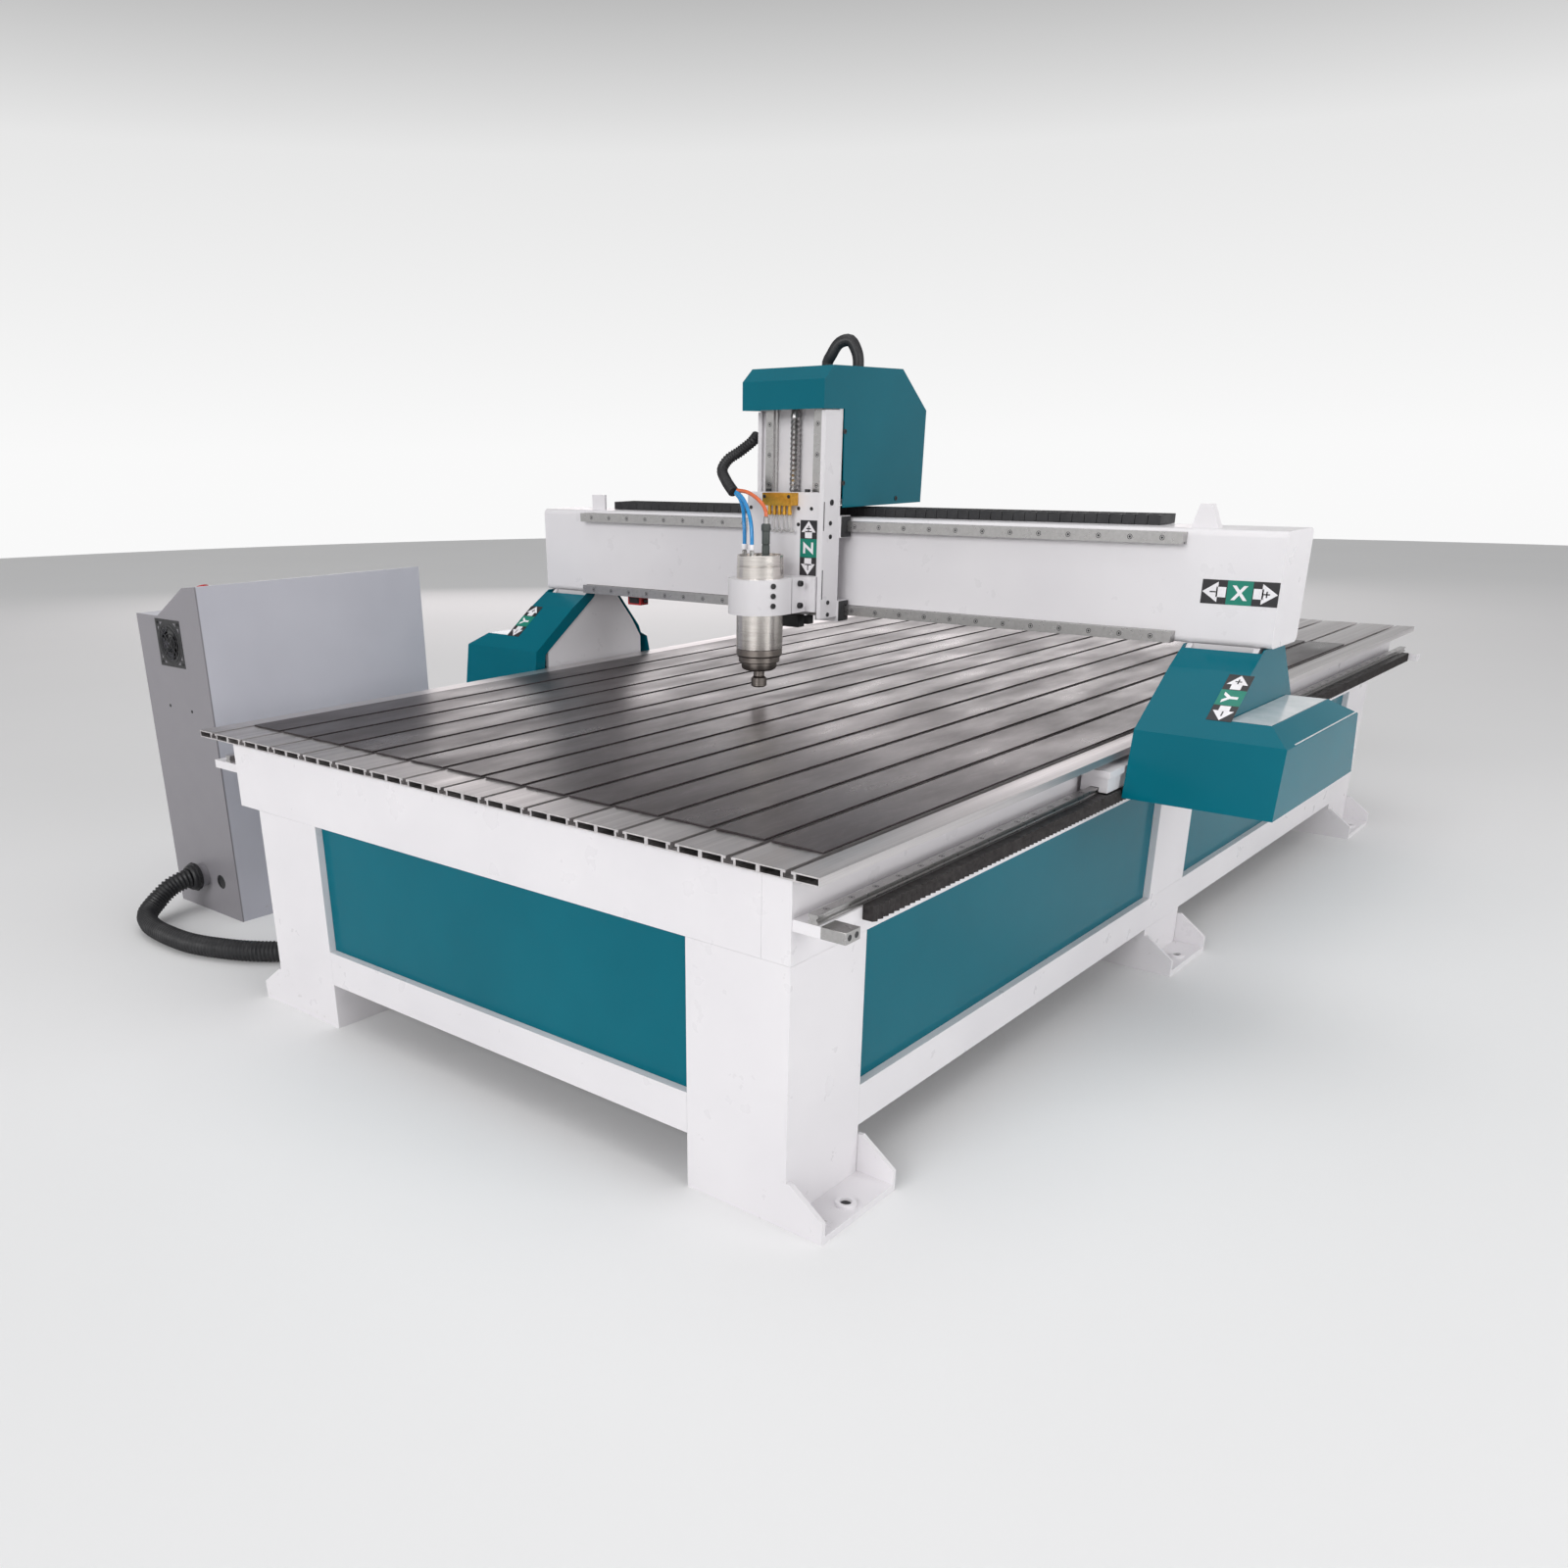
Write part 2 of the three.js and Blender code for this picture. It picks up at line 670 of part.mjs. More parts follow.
// Uprights: inner plate, foot plate on two sliding blocks, outer plate and top plate.
const FOOT_PLATE_Z = LEDGE_TOP + 35;
const FOOT_PLATE_T = 12;
const uprightTop = GANTRY_Z - SEAM;
const UPRIGHT_REAR = 1322;
const sideProfile = [
  [978, FOOT_PLATE_Z + 1],
  [978, FOOT_PLATE_Z + 87],
  [1112, GANTRY_Z - 21],
  [1136, uprightTop],
  [1222, uprightTop],
  [1292, GANTRY_Z - 84],
  [UPRIGHT_REAR, FOOT_PLATE_Z + 75],
  [UPRIGHT_REAR, FOOT_PLATE_Z + 1],
];
const blockTop = FOOT_PLATE_Z + 1;
const blockLow = yRailZ + 6;
const BLOCK_W = 50;
const BLOCK_L = 74;
function slidingBlock(y0) {
  const groove = box(
    Y_RAIL_X - Y_RAIL_W / 2 - RUN,
    Y_RAIL_X + Y_RAIL_W / 2 + RUN,
    y0 - 1,
    y0 + BLOCK_L + 1,
    blockLow - 1,
    railTop + RUN,
  );
  const body = box(
    Y_RAIL_X - BLOCK_W / 2,
    Y_RAIL_X + BLOCK_W / 2,
    y0,
    y0 + BLOCK_L,
    blockLow,
    blockTop,
  );
  return cut(body, groove);
}
const yPinionR = (Y_PINION_TEETH * TOOTH_PITCH) / (2 * Math.PI);
const yPinionX = yRackX + RACK_W - TOOTH / 2 + yPinionR + SEAM;
const Y_PINION_Y = 1150;
const yPinionZ = Y_RACK_Z + 11;
const FOOT_PLATE_FRONT = 865;
const upright = cut(
  joined(
    prismX(sideProfile, UPRIGHT_X, UPRIGHT_X + UPRIGHT_T),
    prismX(sideProfile, COLUMN_HALF - 22, COLUMN_HALF - 12),
    box(UPRIGHT_X, COLUMN_HALF - 12, 1140, 1218, uprightTop - 12, uprightTop),
    prismZ(
      [
        [Y_RAIL_X - BLOCK_W / 2 + 5, FOOT_PLATE_FRONT],
        [UPRIGHT_X - 6, FOOT_PLATE_FRONT],
        [UPRIGHT_X - 6, 978],
        [COLUMN_HALF - 12, 978],
        [COLUMN_HALF - 12, UPRIGHT_REAR],
        [Y_RAIL_X - BLOCK_W / 2 + 5, UPRIGHT_REAR],
      ],
      FOOT_PLATE_Z,
      FOOT_PLATE_Z + FOOT_PLATE_T,
    ),
    slidingBlock(FOOT_PLATE_FRONT + 8),
    slidingBlock(UPRIGHT_REAR - BLOCK_L - 8),
  ),
  rod("z", yPinionX, Y_PINION_Y, FOOT_PLATE_Z, 12, 60, 20),
);
addPair("upright", upright, WHITE);

// Folded cover over each upright: a column under the beam and a box over the motor.
const COVER_Z = LEDGE_TOP - 9;
const SLOPE_LOW = COVER_Z + 120;
const SLOPE_HIGH = COVER_Z + 215;
const BOX_TOP = COVER_Z + 147;
const coverTop = GANTRY_Z - 2 * SEAM;
const slope = (z) => 936 + ((z - SLOPE_LOW) / (SLOPE_HIGH - SLOPE_LOW)) * (1068 - 936);
const columnSide = [
  [917, COVER_Z],
  [936, SLOPE_LOW],
  [slope(SLOPE_HIGH), SLOPE_HIGH],
  [1124, coverTop],
  [1232, coverTop],
  [1318, BOX_TOP],
  [1378, COVER_Z],
];
const boxSide = [
  [917, COVER_Z],
  [936, SLOPE_LOW],
  [slope(BOX_TOP), BOX_TOP],
  [1288, BOX_TOP],
  [1350, BOX_TOP - 32],
  [1378, COVER_Z],
];
const inset = (points, d) => {
  const mid = [1150, BOX_TOP - 32];
  return points.map(([y, z]) => [y + Math.sign(mid[0] - y) * d, z >= coverTop ? z + d : z + (z > mid[1] ? -d : 0)]);
};
const coverIn = UPRIGHT_X - SEAM - COVER_T;
const coverBody = (d) =>
  joined(
    prismX(inset(columnSide, d), coverIn + d, COLUMN_HALF - d),
    geometryOf(
      solidOf(prismX(inset(boxSide, d), coverIn + d, COVER_HALF - d)).intersect(
        solidOf(
          prismY(
            [
              [coverIn, COVER_Z - 5],
              [COVER_HALF - d, COVER_Z - 5],
              [COVER_HALF - d, BOX_TOP - 29 - d / 2],
              [986 - d / 2, BOX_TOP + 1],
              [coverIn, BOX_TOP + 1],
            ],
            900,
            1400,
          ),
        ),
      ),
    ),
  );
const cover = cut(
  coverBody(0),
  coverBody(COVER_T),
  box(coverIn + COVER_T, COVER_HALF - COVER_T, 925, 1370, COVER_Z - 10, COVER_Z + 10),
  prismX(
    [
      [950, COVER_Z - 10],
      [966, SLOPE_LOW - 10],
      [1148, SLOPE_HIGH + 22],
      [1160, coverTop + 10],
      [1400, coverTop + 10],
      [1400, COVER_Z - 10],
    ],
    coverIn - 1,
    coverIn + COVER_T + 1,
  ),
);
addPair("upright_cover", cover, TEAL);

// ---------------------------------------------------------------- Y drives
const motorZ = FOOT_PLATE_Z + FOOT_PLATE_T + SEAM;
const MOTOR_HALF = 22;
const MOTOR_H = 88;
addPair(
  "y_motor",
  joined(
    prismZ(
      roundedRect(
        yPinionX - MOTOR_HALF,
        yPinionX + MOTOR_HALF,
        Y_PINION_Y - MOTOR_HALF,
        Y_PINION_Y + MOTOR_HALF,
        6,
      ),
      motorZ,
      motorZ + MOTOR_H - 20,
    ),
    rod("z", yPinionX, Y_PINION_Y, motorZ + MOTOR_H / 2, MOTOR_HALF - 4, MOTOR_H, 24),
  ),
  BLACK,
);
// Each pinion starts in mesh: its teeth point at the rack's gaps.
const yPinion = joined(
  prismZ(gearOutline(Y_PINION_TEETH, yPinionR), yPinionZ, yPinionZ + PINION_T),
  rod("z", 0, 0, (yPinionZ + motorZ) / 2, 8, motorZ - yPinionZ - SEAM * 2, 16),
);
const gapAhead = (along) => Math.round(along / TOOTH_PITCH) * TOOTH_PITCH - along;
const yTurn = Math.PI - gapAhead(Y_PINION_Y - Y_RACK_FRONT) / yPinionR;
yPinion.rotateZ(yTurn).translate(yPinionX, Y_PINION_Y, 0);
addPair("y_pinion", yPinion, STEEL);

// ---------------------------------------------------------------- head on the X rails
const headX = (u) => HEAD_X + u;
const sideIn = HEAD_HALF - HEAD_SIDE_T;
const BACK_PLATE_Y = Z_RAIL_FACE + RAIL_H;
const BACK_PLATE_REAR = BACK_PLATE_Y + 12;
const X_BLOCK_FACE = xRailBase - 6;
const X_BLOCK_W = 60;
function xBlock(u, z) {
  const w = X_BLOCK_W;
  const u0 = headX(u - w / 2);
  const body = box(u0, u0 + w, BACK_PLATE_REAR - 1, X_BLOCK_FACE, z - 22, z + 22);
  const groove = box(
    u0 - 1,
    u0 + w + 1,
    xRailBase - RAIL_H - RUN,
    xRailBase,
    z - RAIL_W / 2 - RUN,
    z + RAIL_W / 2 + RUN,
  );
  return cut(body, groove);
}

// The X motor hangs behind the beam from a shelf that crosses over it.
const SHELF_Z = GANTRY_Z + 224;
const SHELF_T = 12;
const X_MOTOR_HALF = 30;
const xPinionR = (X_PINION_TEETH * TOOTH_PITCH) / (2 * Math.PI);
const xPinionY = xRackY + RACK_W - TOOTH / 2 + xPinionR + SEAM;
const X_SHAFT_R = 8;
const shelf = cut(
  box(headX(-62), headX(62), BACK_PLATE_REAR - 1, xPinionY + 36, SHELF_Z, SHELF_Z + SHELF_T),
  rod("z", HEAD_X, xPinionY, SHELF_Z, X_SHAFT_R + 3, 60, 20),
);
const carriage = joined(
  box(headX(-HEAD_HALF), headX(-sideIn), Z_RAIL_FACE + 12, BACK_PLATE_REAR, HEAD_BOTTOM, VISOR_Z - 2),
  box(headX(sideIn), headX(HEAD_HALF), HEAD_FRONT, BACK_PLATE_REAR, HEAD_BOTTOM, VISOR_Z - 2),
  box(
    headX(-HEAD_HALF),
    headX(HEAD_HALF),
    BACK_PLATE_Y,
    BACK_PLATE_REAR,
    HEAD_BOTTOM,
    VISOR_Z + 40,
  ),
  ...X_RAIL_MIDS.flatMap((z) => [-1, 1].map((s) => xBlock(s * (HEAD_HALF - 26), z))),
  shelf,
);
add("x_carriage", carriage, WHITE());
[["left", -1], ["right", 1]].forEach(([place, side]) => {
  const section = railSection(RAIL_W, RAIL_H - SEAM).map(([a, b]) => [
    headX(side * Z_RAIL_OUT) + a,
    BACK_PLATE_Y - SEAM - b,
  ]);
  add(place + "_z_rail", prismZ(section.reverse(), HEAD_BOTTOM + 4, VISOR_Z + 30), STEEL());
});

// Ball screw between its end bearings, and the motor above it.
const SCREW_Y = (Z_RAIL_FACE - 5 + BACK_PLATE_Y) / 2;
const screwLow = HEAD_BOTTOM + 8;
const screwHigh = VISOR_Z + 4;
function screwOutline() {
  const points = [[0, screwLow], [SCREW_R - 3, screwLow], [SCREW_R - 1, screwLow + 10]];
  for (let z = PLATE_TOP - 20; z + SCREW_LEAD <= screwHigh - 10; z += SCREW_LEAD)
    points.push([SCREW_R - 2, z], [SCREW_R, z + SCREW_LEAD / 2]);
  points.push([SCREW_R - 3, screwHigh], [0, screwHigh]);
  return points;
}
add("z_ball_screw", turned(screwOutline(), HEAD_X, SCREW_Y, 12), STEEL());
const zMotorFront = HEAD_FRONT + 10;
add(
  "z_motor",
  joined(
    box(headX(-38), headX(38), zMotorFront, BACK_PLATE_Y - SEAM, VISOR_Z + 5, VISOR_Z + 12),
    box(headX(-26), headX(26), zMotorFront, BACK_PLATE_Y - 2, VISOR_Z + 11, VISOR_Z + 62),
  ),
  BLACK(),
);

const xMotorZ = SHELF_Z + SHELF_T + SEAM;
const X_MOTOR_H = 96;
add(
  "x_motor",
  joined(
    prismZ(
      roundedRect(
        HEAD_X - X_MOTOR_HALF,
        HEAD_X + X_MOTOR_HALF,
        xPinionY - X_MOTOR_HALF,
        xPinionY + X_MOTOR_HALF,
        6,
      ),
      xMotorZ,
      xMotorZ + X_MOTOR_H - 20,
    ),
    rod("z", HEAD_X, xPinionY, xMotorZ + X_MOTOR_H / 2, X_MOTOR_HALF - 4, X_MOTOR_H, 24),
  ),
  BLACK(),
);
const xPinionZ = xRackZ + (X_RACK_H - PINION_T) / 2;
const xShaftTop = xMotorZ - SEAM;
const xPinion = joined(
  prismZ(gearOutline(X_PINION_TEETH, xPinionR), xPinionZ, xPinionZ + PINION_T),
  rod("z", 0, 0, (xPinionZ + xShaftTop) / 2, X_SHAFT_R, xShaftTop - xPinionZ, 16),
);
const xTurn = -Math.PI / 2 + gapAhead(HEAD_X + X_RACK_HALF) / xPinionR;
xPinion.rotateZ(xTurn).translate(HEAD_X, xPinionY, 0);
add("x_pinion", xPinion, STEEL());

// Head cover: a visor over the Z slide and a hood behind it, open below.
const COVER_GAP = 0.5;
const hoodHalf = HEAD_HALF + COVER_GAP + COVER_T;
const VISOR_FRONT = 1018;
const VISOR_BACK = BACK_PLATE_REAR + 2;
const HOOD_LOW = GANTRY_Z + 221.5;
const HOOD_REAR = 1414;
const hoodOutline = (d) => [
  [VISOR_FRONT + d, VISOR_Z],
  [VISOR_BACK + d, VISOR_Z],
  [VISOR_BACK + 4 + d, HOOD_LOW],
  [HOOD_REAR - 5 - d, HOOD_LOW],
  [HOOD_REAR - d, VISOR_Z],
  [HOOD_REAR - 105 - d, HEAD_TOP - d],
  [VISOR_FRONT + 33 + d, HEAD_TOP - d],
  [VISOR_FRONT + d, HEAD_TOP - 26 - d / 2],
];
const lowered = hoodOutline(COVER_T).map(([y, z], i) => [y, i < 4 ? z - 10 : z]);
const hoodIn = [headX(-hoodHalf + COVER_T), headX(hoodHalf - COVER_T)];
const hood = cut(
  prismX(hoodOutline(0), headX(-hoodHalf), headX(hoodHalf)),
  prismX(lowered, ...hoodIn),
  box(...hoodIn, VISOR_BACK - 14, VISOR_BACK + 14, HOOD_LOW - 10, VISOR_Z + 1),
);
add("head_cover", hood, TEAL());

// ---------------------------------------------------------------- Z slide and spindle
const plateY = Z_RAIL_FACE - 5 - PLATE_T;
const plateRight = sideIn - 1.5;
const plateLeft = -HEAD_HALF + 1;
const BLOCK_HALF = 20;
function zBlock(u, z) {
  const body = box(
    headX(u - BLOCK_HALF),
    headX(u + BLOCK_HALF),
    plateY + PLATE_T - 1,
    Z_RAIL_FACE + 12,
    z,
    z + 60,
  );
  const groove = box(
    headX(u) - RAIL_W / 2 - RUN,
    headX(u) + RAIL_W / 2 + RUN,
    Z_RAIL_FACE - RUN,
    Z_RAIL_FACE + RAIL_H,
    z - 1,
    z + 61,
  );
  return cut(body, groove);
}
const NUT_Z = GANTRY_Z + 121;
const nut = cut(
  box(headX(-26), headX(26), plateY + PLATE_T - 1, BACK_PLATE_Y - 2, NUT_Z, NUT_Z + 40),
  rod("z", HEAD_X, SCREW_Y, NUT_Z + 20, SCREW_R + RUN, 60, 24),
);
add(
  "z_slide_plate",
  joined(
    box(headX(plateLeft), headX(plateRight), plateY, plateY + PLATE_T, PLATE_BOTTOM, PLATE_TOP),
    ...[-1, 1].flatMap((s) =>
      [PLATE_BOTTOM + 10, PLATE_TOP - 76].map((z) => zBlock(s * Z_RAIL_OUT, z)),
    ),
    nut,
  ),
  WHITE(),
);

const clampBack = plateY - SEAM;
const clampShape = new THREE.Shape();
clampShape.absarc(0, 0, CLAMP_R, Math.PI, 2 * Math.PI);
clampShape.lineTo(CLAMP_R, clampBack - SPINDLE_Y);
clampShape.lineTo(-CLAMP_R, clampBack - SPINDLE_Y);
const clampBore = new THREE.Path();
clampBore.absarc(0, 0, SPINDLE_R + SEAM, 0, 2 * Math.PI);
clampShape.holes.push(clampBore);
const clampBlock = new THREE.ExtrudeGeometry(clampShape, {
  depth: CLAMP_TOP - CLAMP_BOTTOM,
  bevelEnabled: false,
  curveSegments: 32,
}).translate(SPINDLE_X, SPINDLE_Y, CLAMP_BOTTOM);
const SPLIT = 3;
add(
  "spindle_clamp",
  cut(
    joined(
      clampBlock,
      box(
        SPINDLE_X - CLAMP_R,
        headX(plateRight) - 1,
        clampBack - 12,
        clampBack,
        CLAMP_BOTTOM,
        CLAMP_TOP,
      ),
    ),
    box(
      SPINDLE_X + SPINDLE_R - 6,
      SPINDLE_X + CLAMP_R + 1,
      SPINDLE_Y + 20,
      SPINDLE_Y + 20 + SPLIT,
      CLAMP_BOTTOM - 1,
      CLAMP_TOP + 1,
    ),
  ),
  WHITE(),
);

const NOSE_BORE_R = 18;
const NOSE_BOTTOM = GANTRY_Z - 107;
add(
  "spindle_body",
  turned(
    [
      [NOSE_BORE_R, NOSE_BOTTOM],
      [37, NOSE_BOTTOM],
      [37, NOSE_BOTTOM + 9],
      [45, NOSE_BOTTOM + 15],
      [SPINDLE_R - 2, SPINDLE_BOTTOM + 2],
      [SPINDLE_R, SPINDLE_BOTTOM + 14],
      [SPINDLE_R, SPINDLE_TOP - 40],
      [SPINDLE_R - 1, SPINDLE_TOP - 38],
      [SPINDLE_R, SPINDLE_TOP - 36],
      [SPINDLE_R, SPINDLE_TOP],
      [NOSE_BORE_R, SPINDLE_TOP],
      [NOSE_BORE_R, NOSE_BOTTOM],
    ],
    SPINDLE_X,
    SPINDLE_Y,
    32,
  ),
  STEEL(),
);
const shaftR = NOSE_BORE_R - 0.5;
const boreTop = COLLET_BOTTOM + 34;
add(
  "spindle_shaft",
  turned(
    [
      [0, boreTop],
      [COLLET_BORE_R, boreTop],
      [COLLET_BORE_R, COLLET_BOTTOM],
      [13, COLLET_BOTTOM],
      [17, COLLET_BOTTOM + 3],
      [17, COLLET_BOTTOM + 20],
      [12, COLLET_BOTTOM + 24],
      [12, NOSE_BOTTOM - 3],
      [shaftR, NOSE_BOTTOM + 2],
      [shaftR, SPINDLE_TOP - 20],
      [0, SPINDLE_TOP - 20],
      [0, boreTop],
    ],
    SPINDLE_X,
    SPINDLE_Y,
    24,
  ),
  STEEL(),
);

const OUTLETS = 5;
const manifoldX = [headX(-42), headX(33)];
add(
  "oil_manifold",
  joined(
    box(...manifoldX, plateY - 26, plateY - SEAM, PLATE_TOP - 26, PLATE_TOP - 1),
    ...Array.from({ length: OUTLETS }, (_, i) =>
      rod("z", manifoldX[0] + 12 + i * 13, plateY - 15, PLATE_TOP - 31, 4, 14, 12),
    ),
  ),
  BRASS(),
);

// Hose from the side of the head down to the spindle's connections.
const HOSE_R = 12;
const hoseX = headX(-HEAD_HALF) - HOSE_R - 6;
add(
  "spindle_hose",
  tube(
    [
      [hoseX, 1088, GANTRY_Z + 364],
      [hoseX, 1074, GANTRY_Z + 354],
      [hoseX - 18, 1054, GANTRY_Z + 334],
      [hoseX - 36, 1034, GANTRY_Z + 317],
      [hoseX - 39, 1018, GANTRY_Z + 298],
      [hoseX - 14, 1000, GANTRY_Z + 276],
      [hoseX + 20, 984, GANTRY_Z + 253],
    ],
    HOSE_R,
    24,
  ),
  BLACK(),
);
const LOOP_TOP = HEAD_TOP + 54;
add(
  "head_loop_hose",
  tube(
    [
      [-88, 1190, HEAD_TOP + 2 * SEAM],
      [-88, 1190, HEAD_TOP + 14],
      [-80, 1190, LOOP_TOP - 28],
      [-62, 1194, LOOP_TOP - 4],
      [-39, 1200, LOOP_TOP],
      [-24, 1204, LOOP_TOP - 22],
      [-20, 1205, HEAD_TOP + 14],
      [-20, 1205, HEAD_TOP + 2 * SEAM],
    ],
    HOSE_R,
    22,
  ),
  BLACK(),
);

// ---------------------------------------------------------------- control cabinet
const cabFar = CAB_X - CAB_D;
const cabBack = CAB_FRONT + CAB_W;
const deskX = CAB_X - 185;
const crestX = CAB_X - 55;
const CAB_DOOR = { x: cabFar, y0: CAB_FRONT + 16, y1: cabBack - 16, z0: 40, z1: CAB_DESK_Z - 16 };
const cabSide = [
  [cabFar, 0],
  [CAB_X, 0],
  [CAB_X, CAB_TOP - 6],
  [crestX, CAB_TOP - 11],
  [deskX, CAB_DESK_Z],
  [cabFar, CAB_DESK_Z],
];
const cabInner = [
  [cabFar + CAB_WALL + 16, CAB_WALL],
  [CAB_X - CAB_WALL, CAB_WALL],
  [CAB_X - CAB_WALL, CAB_TOP - 6 - CAB_WALL],
  [crestX + 1, CAB_TOP - 11 - 1.5 * CAB_WALL],
  [deskX + 1, CAB_DESK_Z - CAB_WALL],
  [cabFar + CAB_WALL + 16, CAB_DESK_Z - CAB_WALL],
];
const FAN = { x: CAB_X - 143, z: 657, r: 46 };
const GLAND = { x: CAB_X - 154, z: 92, r: 29 };
const SPARE_HOLE = { x: CAB_X - 75, z: 88, r: 15 };
const SMALL_HOLES = [[CAB_X - 188, 508], [CAB_X - 91, 504]];
const STOP_BUTTON = { x: (deskX + crestX) / 2, y: CAB_FRONT + 90 };
const slopeAngle = Math.atan2(CAB_TOP - 11 - CAB_DESK_Z, crestX - deskX);
const slopeZ = (x) => CAB_DESK_Z + (x - deskX) * Math.tan(slopeAngle);
const buttonTilt = (shape) =>
  shape
    .rotateY(-slopeAngle)
    .translate(STOP_BUTTON.x, STOP_BUTTON.y, slopeZ(STOP_BUTTON.x));
const BUTTON_STEM_R = 8;
const wallHole = (x, z, r, sides = 20) => rod("y", x, CAB_FRONT, z, r, 20, sides);
const cabinet = cut(
  prismY(cabSide, CAB_FRONT, cabBack),
  prismY(cabInner, CAB_FRONT + CAB_WALL, cabBack - CAB_WALL),
  box(
    cabFar - 1,
    cabFar + 30,
    CAB_DOOR.y0 - 1,
    CAB_DOOR.y1 + 1,
    CAB_DOOR.z0 - 1,
    CAB_DOOR.z1 + 1,
  ),
  wallHole(FAN.x, FAN.z, FAN.r, 28),
  wallHole(SPARE_HOLE.x, SPARE_HOLE.z, SPARE_HOLE.r),
  ...SMALL_HOLES.map(([x, z]) => wallHole(x, z, 4, 12)),
  buttonTilt(rod("z", 0, 0, 0, BUTTON_STEM_R + 1, 30, 16)),
);
// Threaded gland round the conduit's end, welded into the cabinet's front wall.
const glandRing = rod("y", GLAND.x, CAB_FRONT - 9, GLAND.z, GLAND.r, 24, 24);
// Fan housing fixed inside the front wall over its hole.
const FAN_D = 25;
const fanY = CAB_FRONT + CAB_WALL / 2;
const fanHousing = joined(
  cut(
    box(
      FAN.x - FAN_SIZE / 2,
      FAN.x + FAN_SIZE / 2,
      fanY,
      fanY + FAN_D,
      FAN.z - FAN_SIZE / 2,
      FAN.z + FAN_SIZE / 2,
    ),
    rod("y", FAN.x, fanY, FAN.z, FAN.r, 4 * FAN_D, 28),
  ),
  box(FAN.x - FAN.r - 1, FAN.x + FAN.r + 1, fanY + FAN_D - 4, fanY + FAN_D, FAN.z - 4, FAN.z + 4),
  rod("y", FAN.x, fanY + FAN_D - 5, FAN.z, 16, 8, 20),
);
add("control_cabinet", joined(cabinet, glandRing, fanHousing), GREY());

add(
  "cabinet_door",
  joined(
    box(cabFar, cabFar + DOOR_T, CAB_DOOR.y0, CAB_DOOR.y1, CAB_DOOR.z0, CAB_DOOR.z1),
    box(cabFar, cabFar + 14, CAB_DOOR.y0 + 8, CAB_DOOR.y0 + 10, CAB_DOOR.z0 + 8, CAB_DOOR.z1 - 8),
    box(cabFar, cabFar + 14, CAB_DOOR.y1 - 10, CAB_DOOR.y1 - 8, CAB_DOOR.z0 + 8, CAB_DOOR.z1 - 8),
  ),
  GREY(),
);
const LATCH = { y: CAB_DOOR.y0 + 34, z: 420 };
add(
  "door_latch",
  joined(
    rod("x", cabFar - SEAM - 5, LATCH.y, LATCH.z, 14, 10, 24),
    box(cabFar - 20, cabFar - 9, LATCH.y - 4, LATCH.y + 4, LATCH.z - 34, LATCH.z + 10),
  ),
  BLACK(),
);

// Fan wheel turning in the housing.
const blades = [];
for (let i = 0; i < 7; i++)
  blades.push(
    box(6, FAN.r - 4, -1, 1, -9, 9)
      .rotateX(0.7)
      .rotateY((i / 7) * 2 * Math.PI),
  );
const fanMid = fanY + 9;
add(
  "fan_rotor",
  joined(rod("y", 0, 0, 0, 15, 12, 20), ...blades).translate(FAN.x, fanMid, FAN.z),
  BLACK(),
);

add(
  "emergency_stop",
  joined(
    buttonTilt(rod("z", 0, 0, 20, 20, 12, 24)),
    buttonTilt(rod("z", 0, 0, 2, BUTTON_STEM_R, 32, 16)),
  ),
  RED(),
);

// Loose conduit from the gland to the floor and in behind the front left leg.
const CONDUIT = [
  [-1258, 206, 92],
  [-1258, 194, 92],
  [-1262, 172, 89],
  [-1270, 140, 76],
  [-1272, 104, 52],
  [-1256, 68, 33],
  [-1216, 48, 26],
  [-1160, 36, 25],
  [-1090, 33, 25],
  [-1010, 39, 25],
  [-930, 64, 25],
  [-850, 104, 25],
  [-780, 162, 25],
  [-718, 226, 25],
  [-660, 282, 26],
  [-596, 316, 32],
  [-534, 304, 44],
  [-498, 262, 56],
  [-494, LEG_BACKS[0] + 22, 60],
  [-494, LEG_BACKS[0] + 2 * SEAM, 60],
];
add("cable_conduit", tube(CONDUIT, CONDUIT_R, 46, 6), BLACK());

// ---------------------------------------------------------------- origin: centre of the base
const bounds = new THREE.Box3();
for (const mesh of machine.children)
  if (mesh.name !== "cable_conduit") bounds.expandByObject(mesh);
machine.position.set(
  -(bounds.min.x + bounds.max.x) / 2,
  -(bounds.min.y + bounds.max.y) / 2,
  -bounds.min.z,
);

export default root;
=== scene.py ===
"""Gantry router: the camera, the finishes, the cable conduit, the fittings and a pale studio.

Places and shapes are in mm, measured from the middle of the deck's front edge at floor height.
Lights and textures are sized in metres.
"""
import json
import math

import bmesh
import bpy
from mathutils import Matrix, Vector


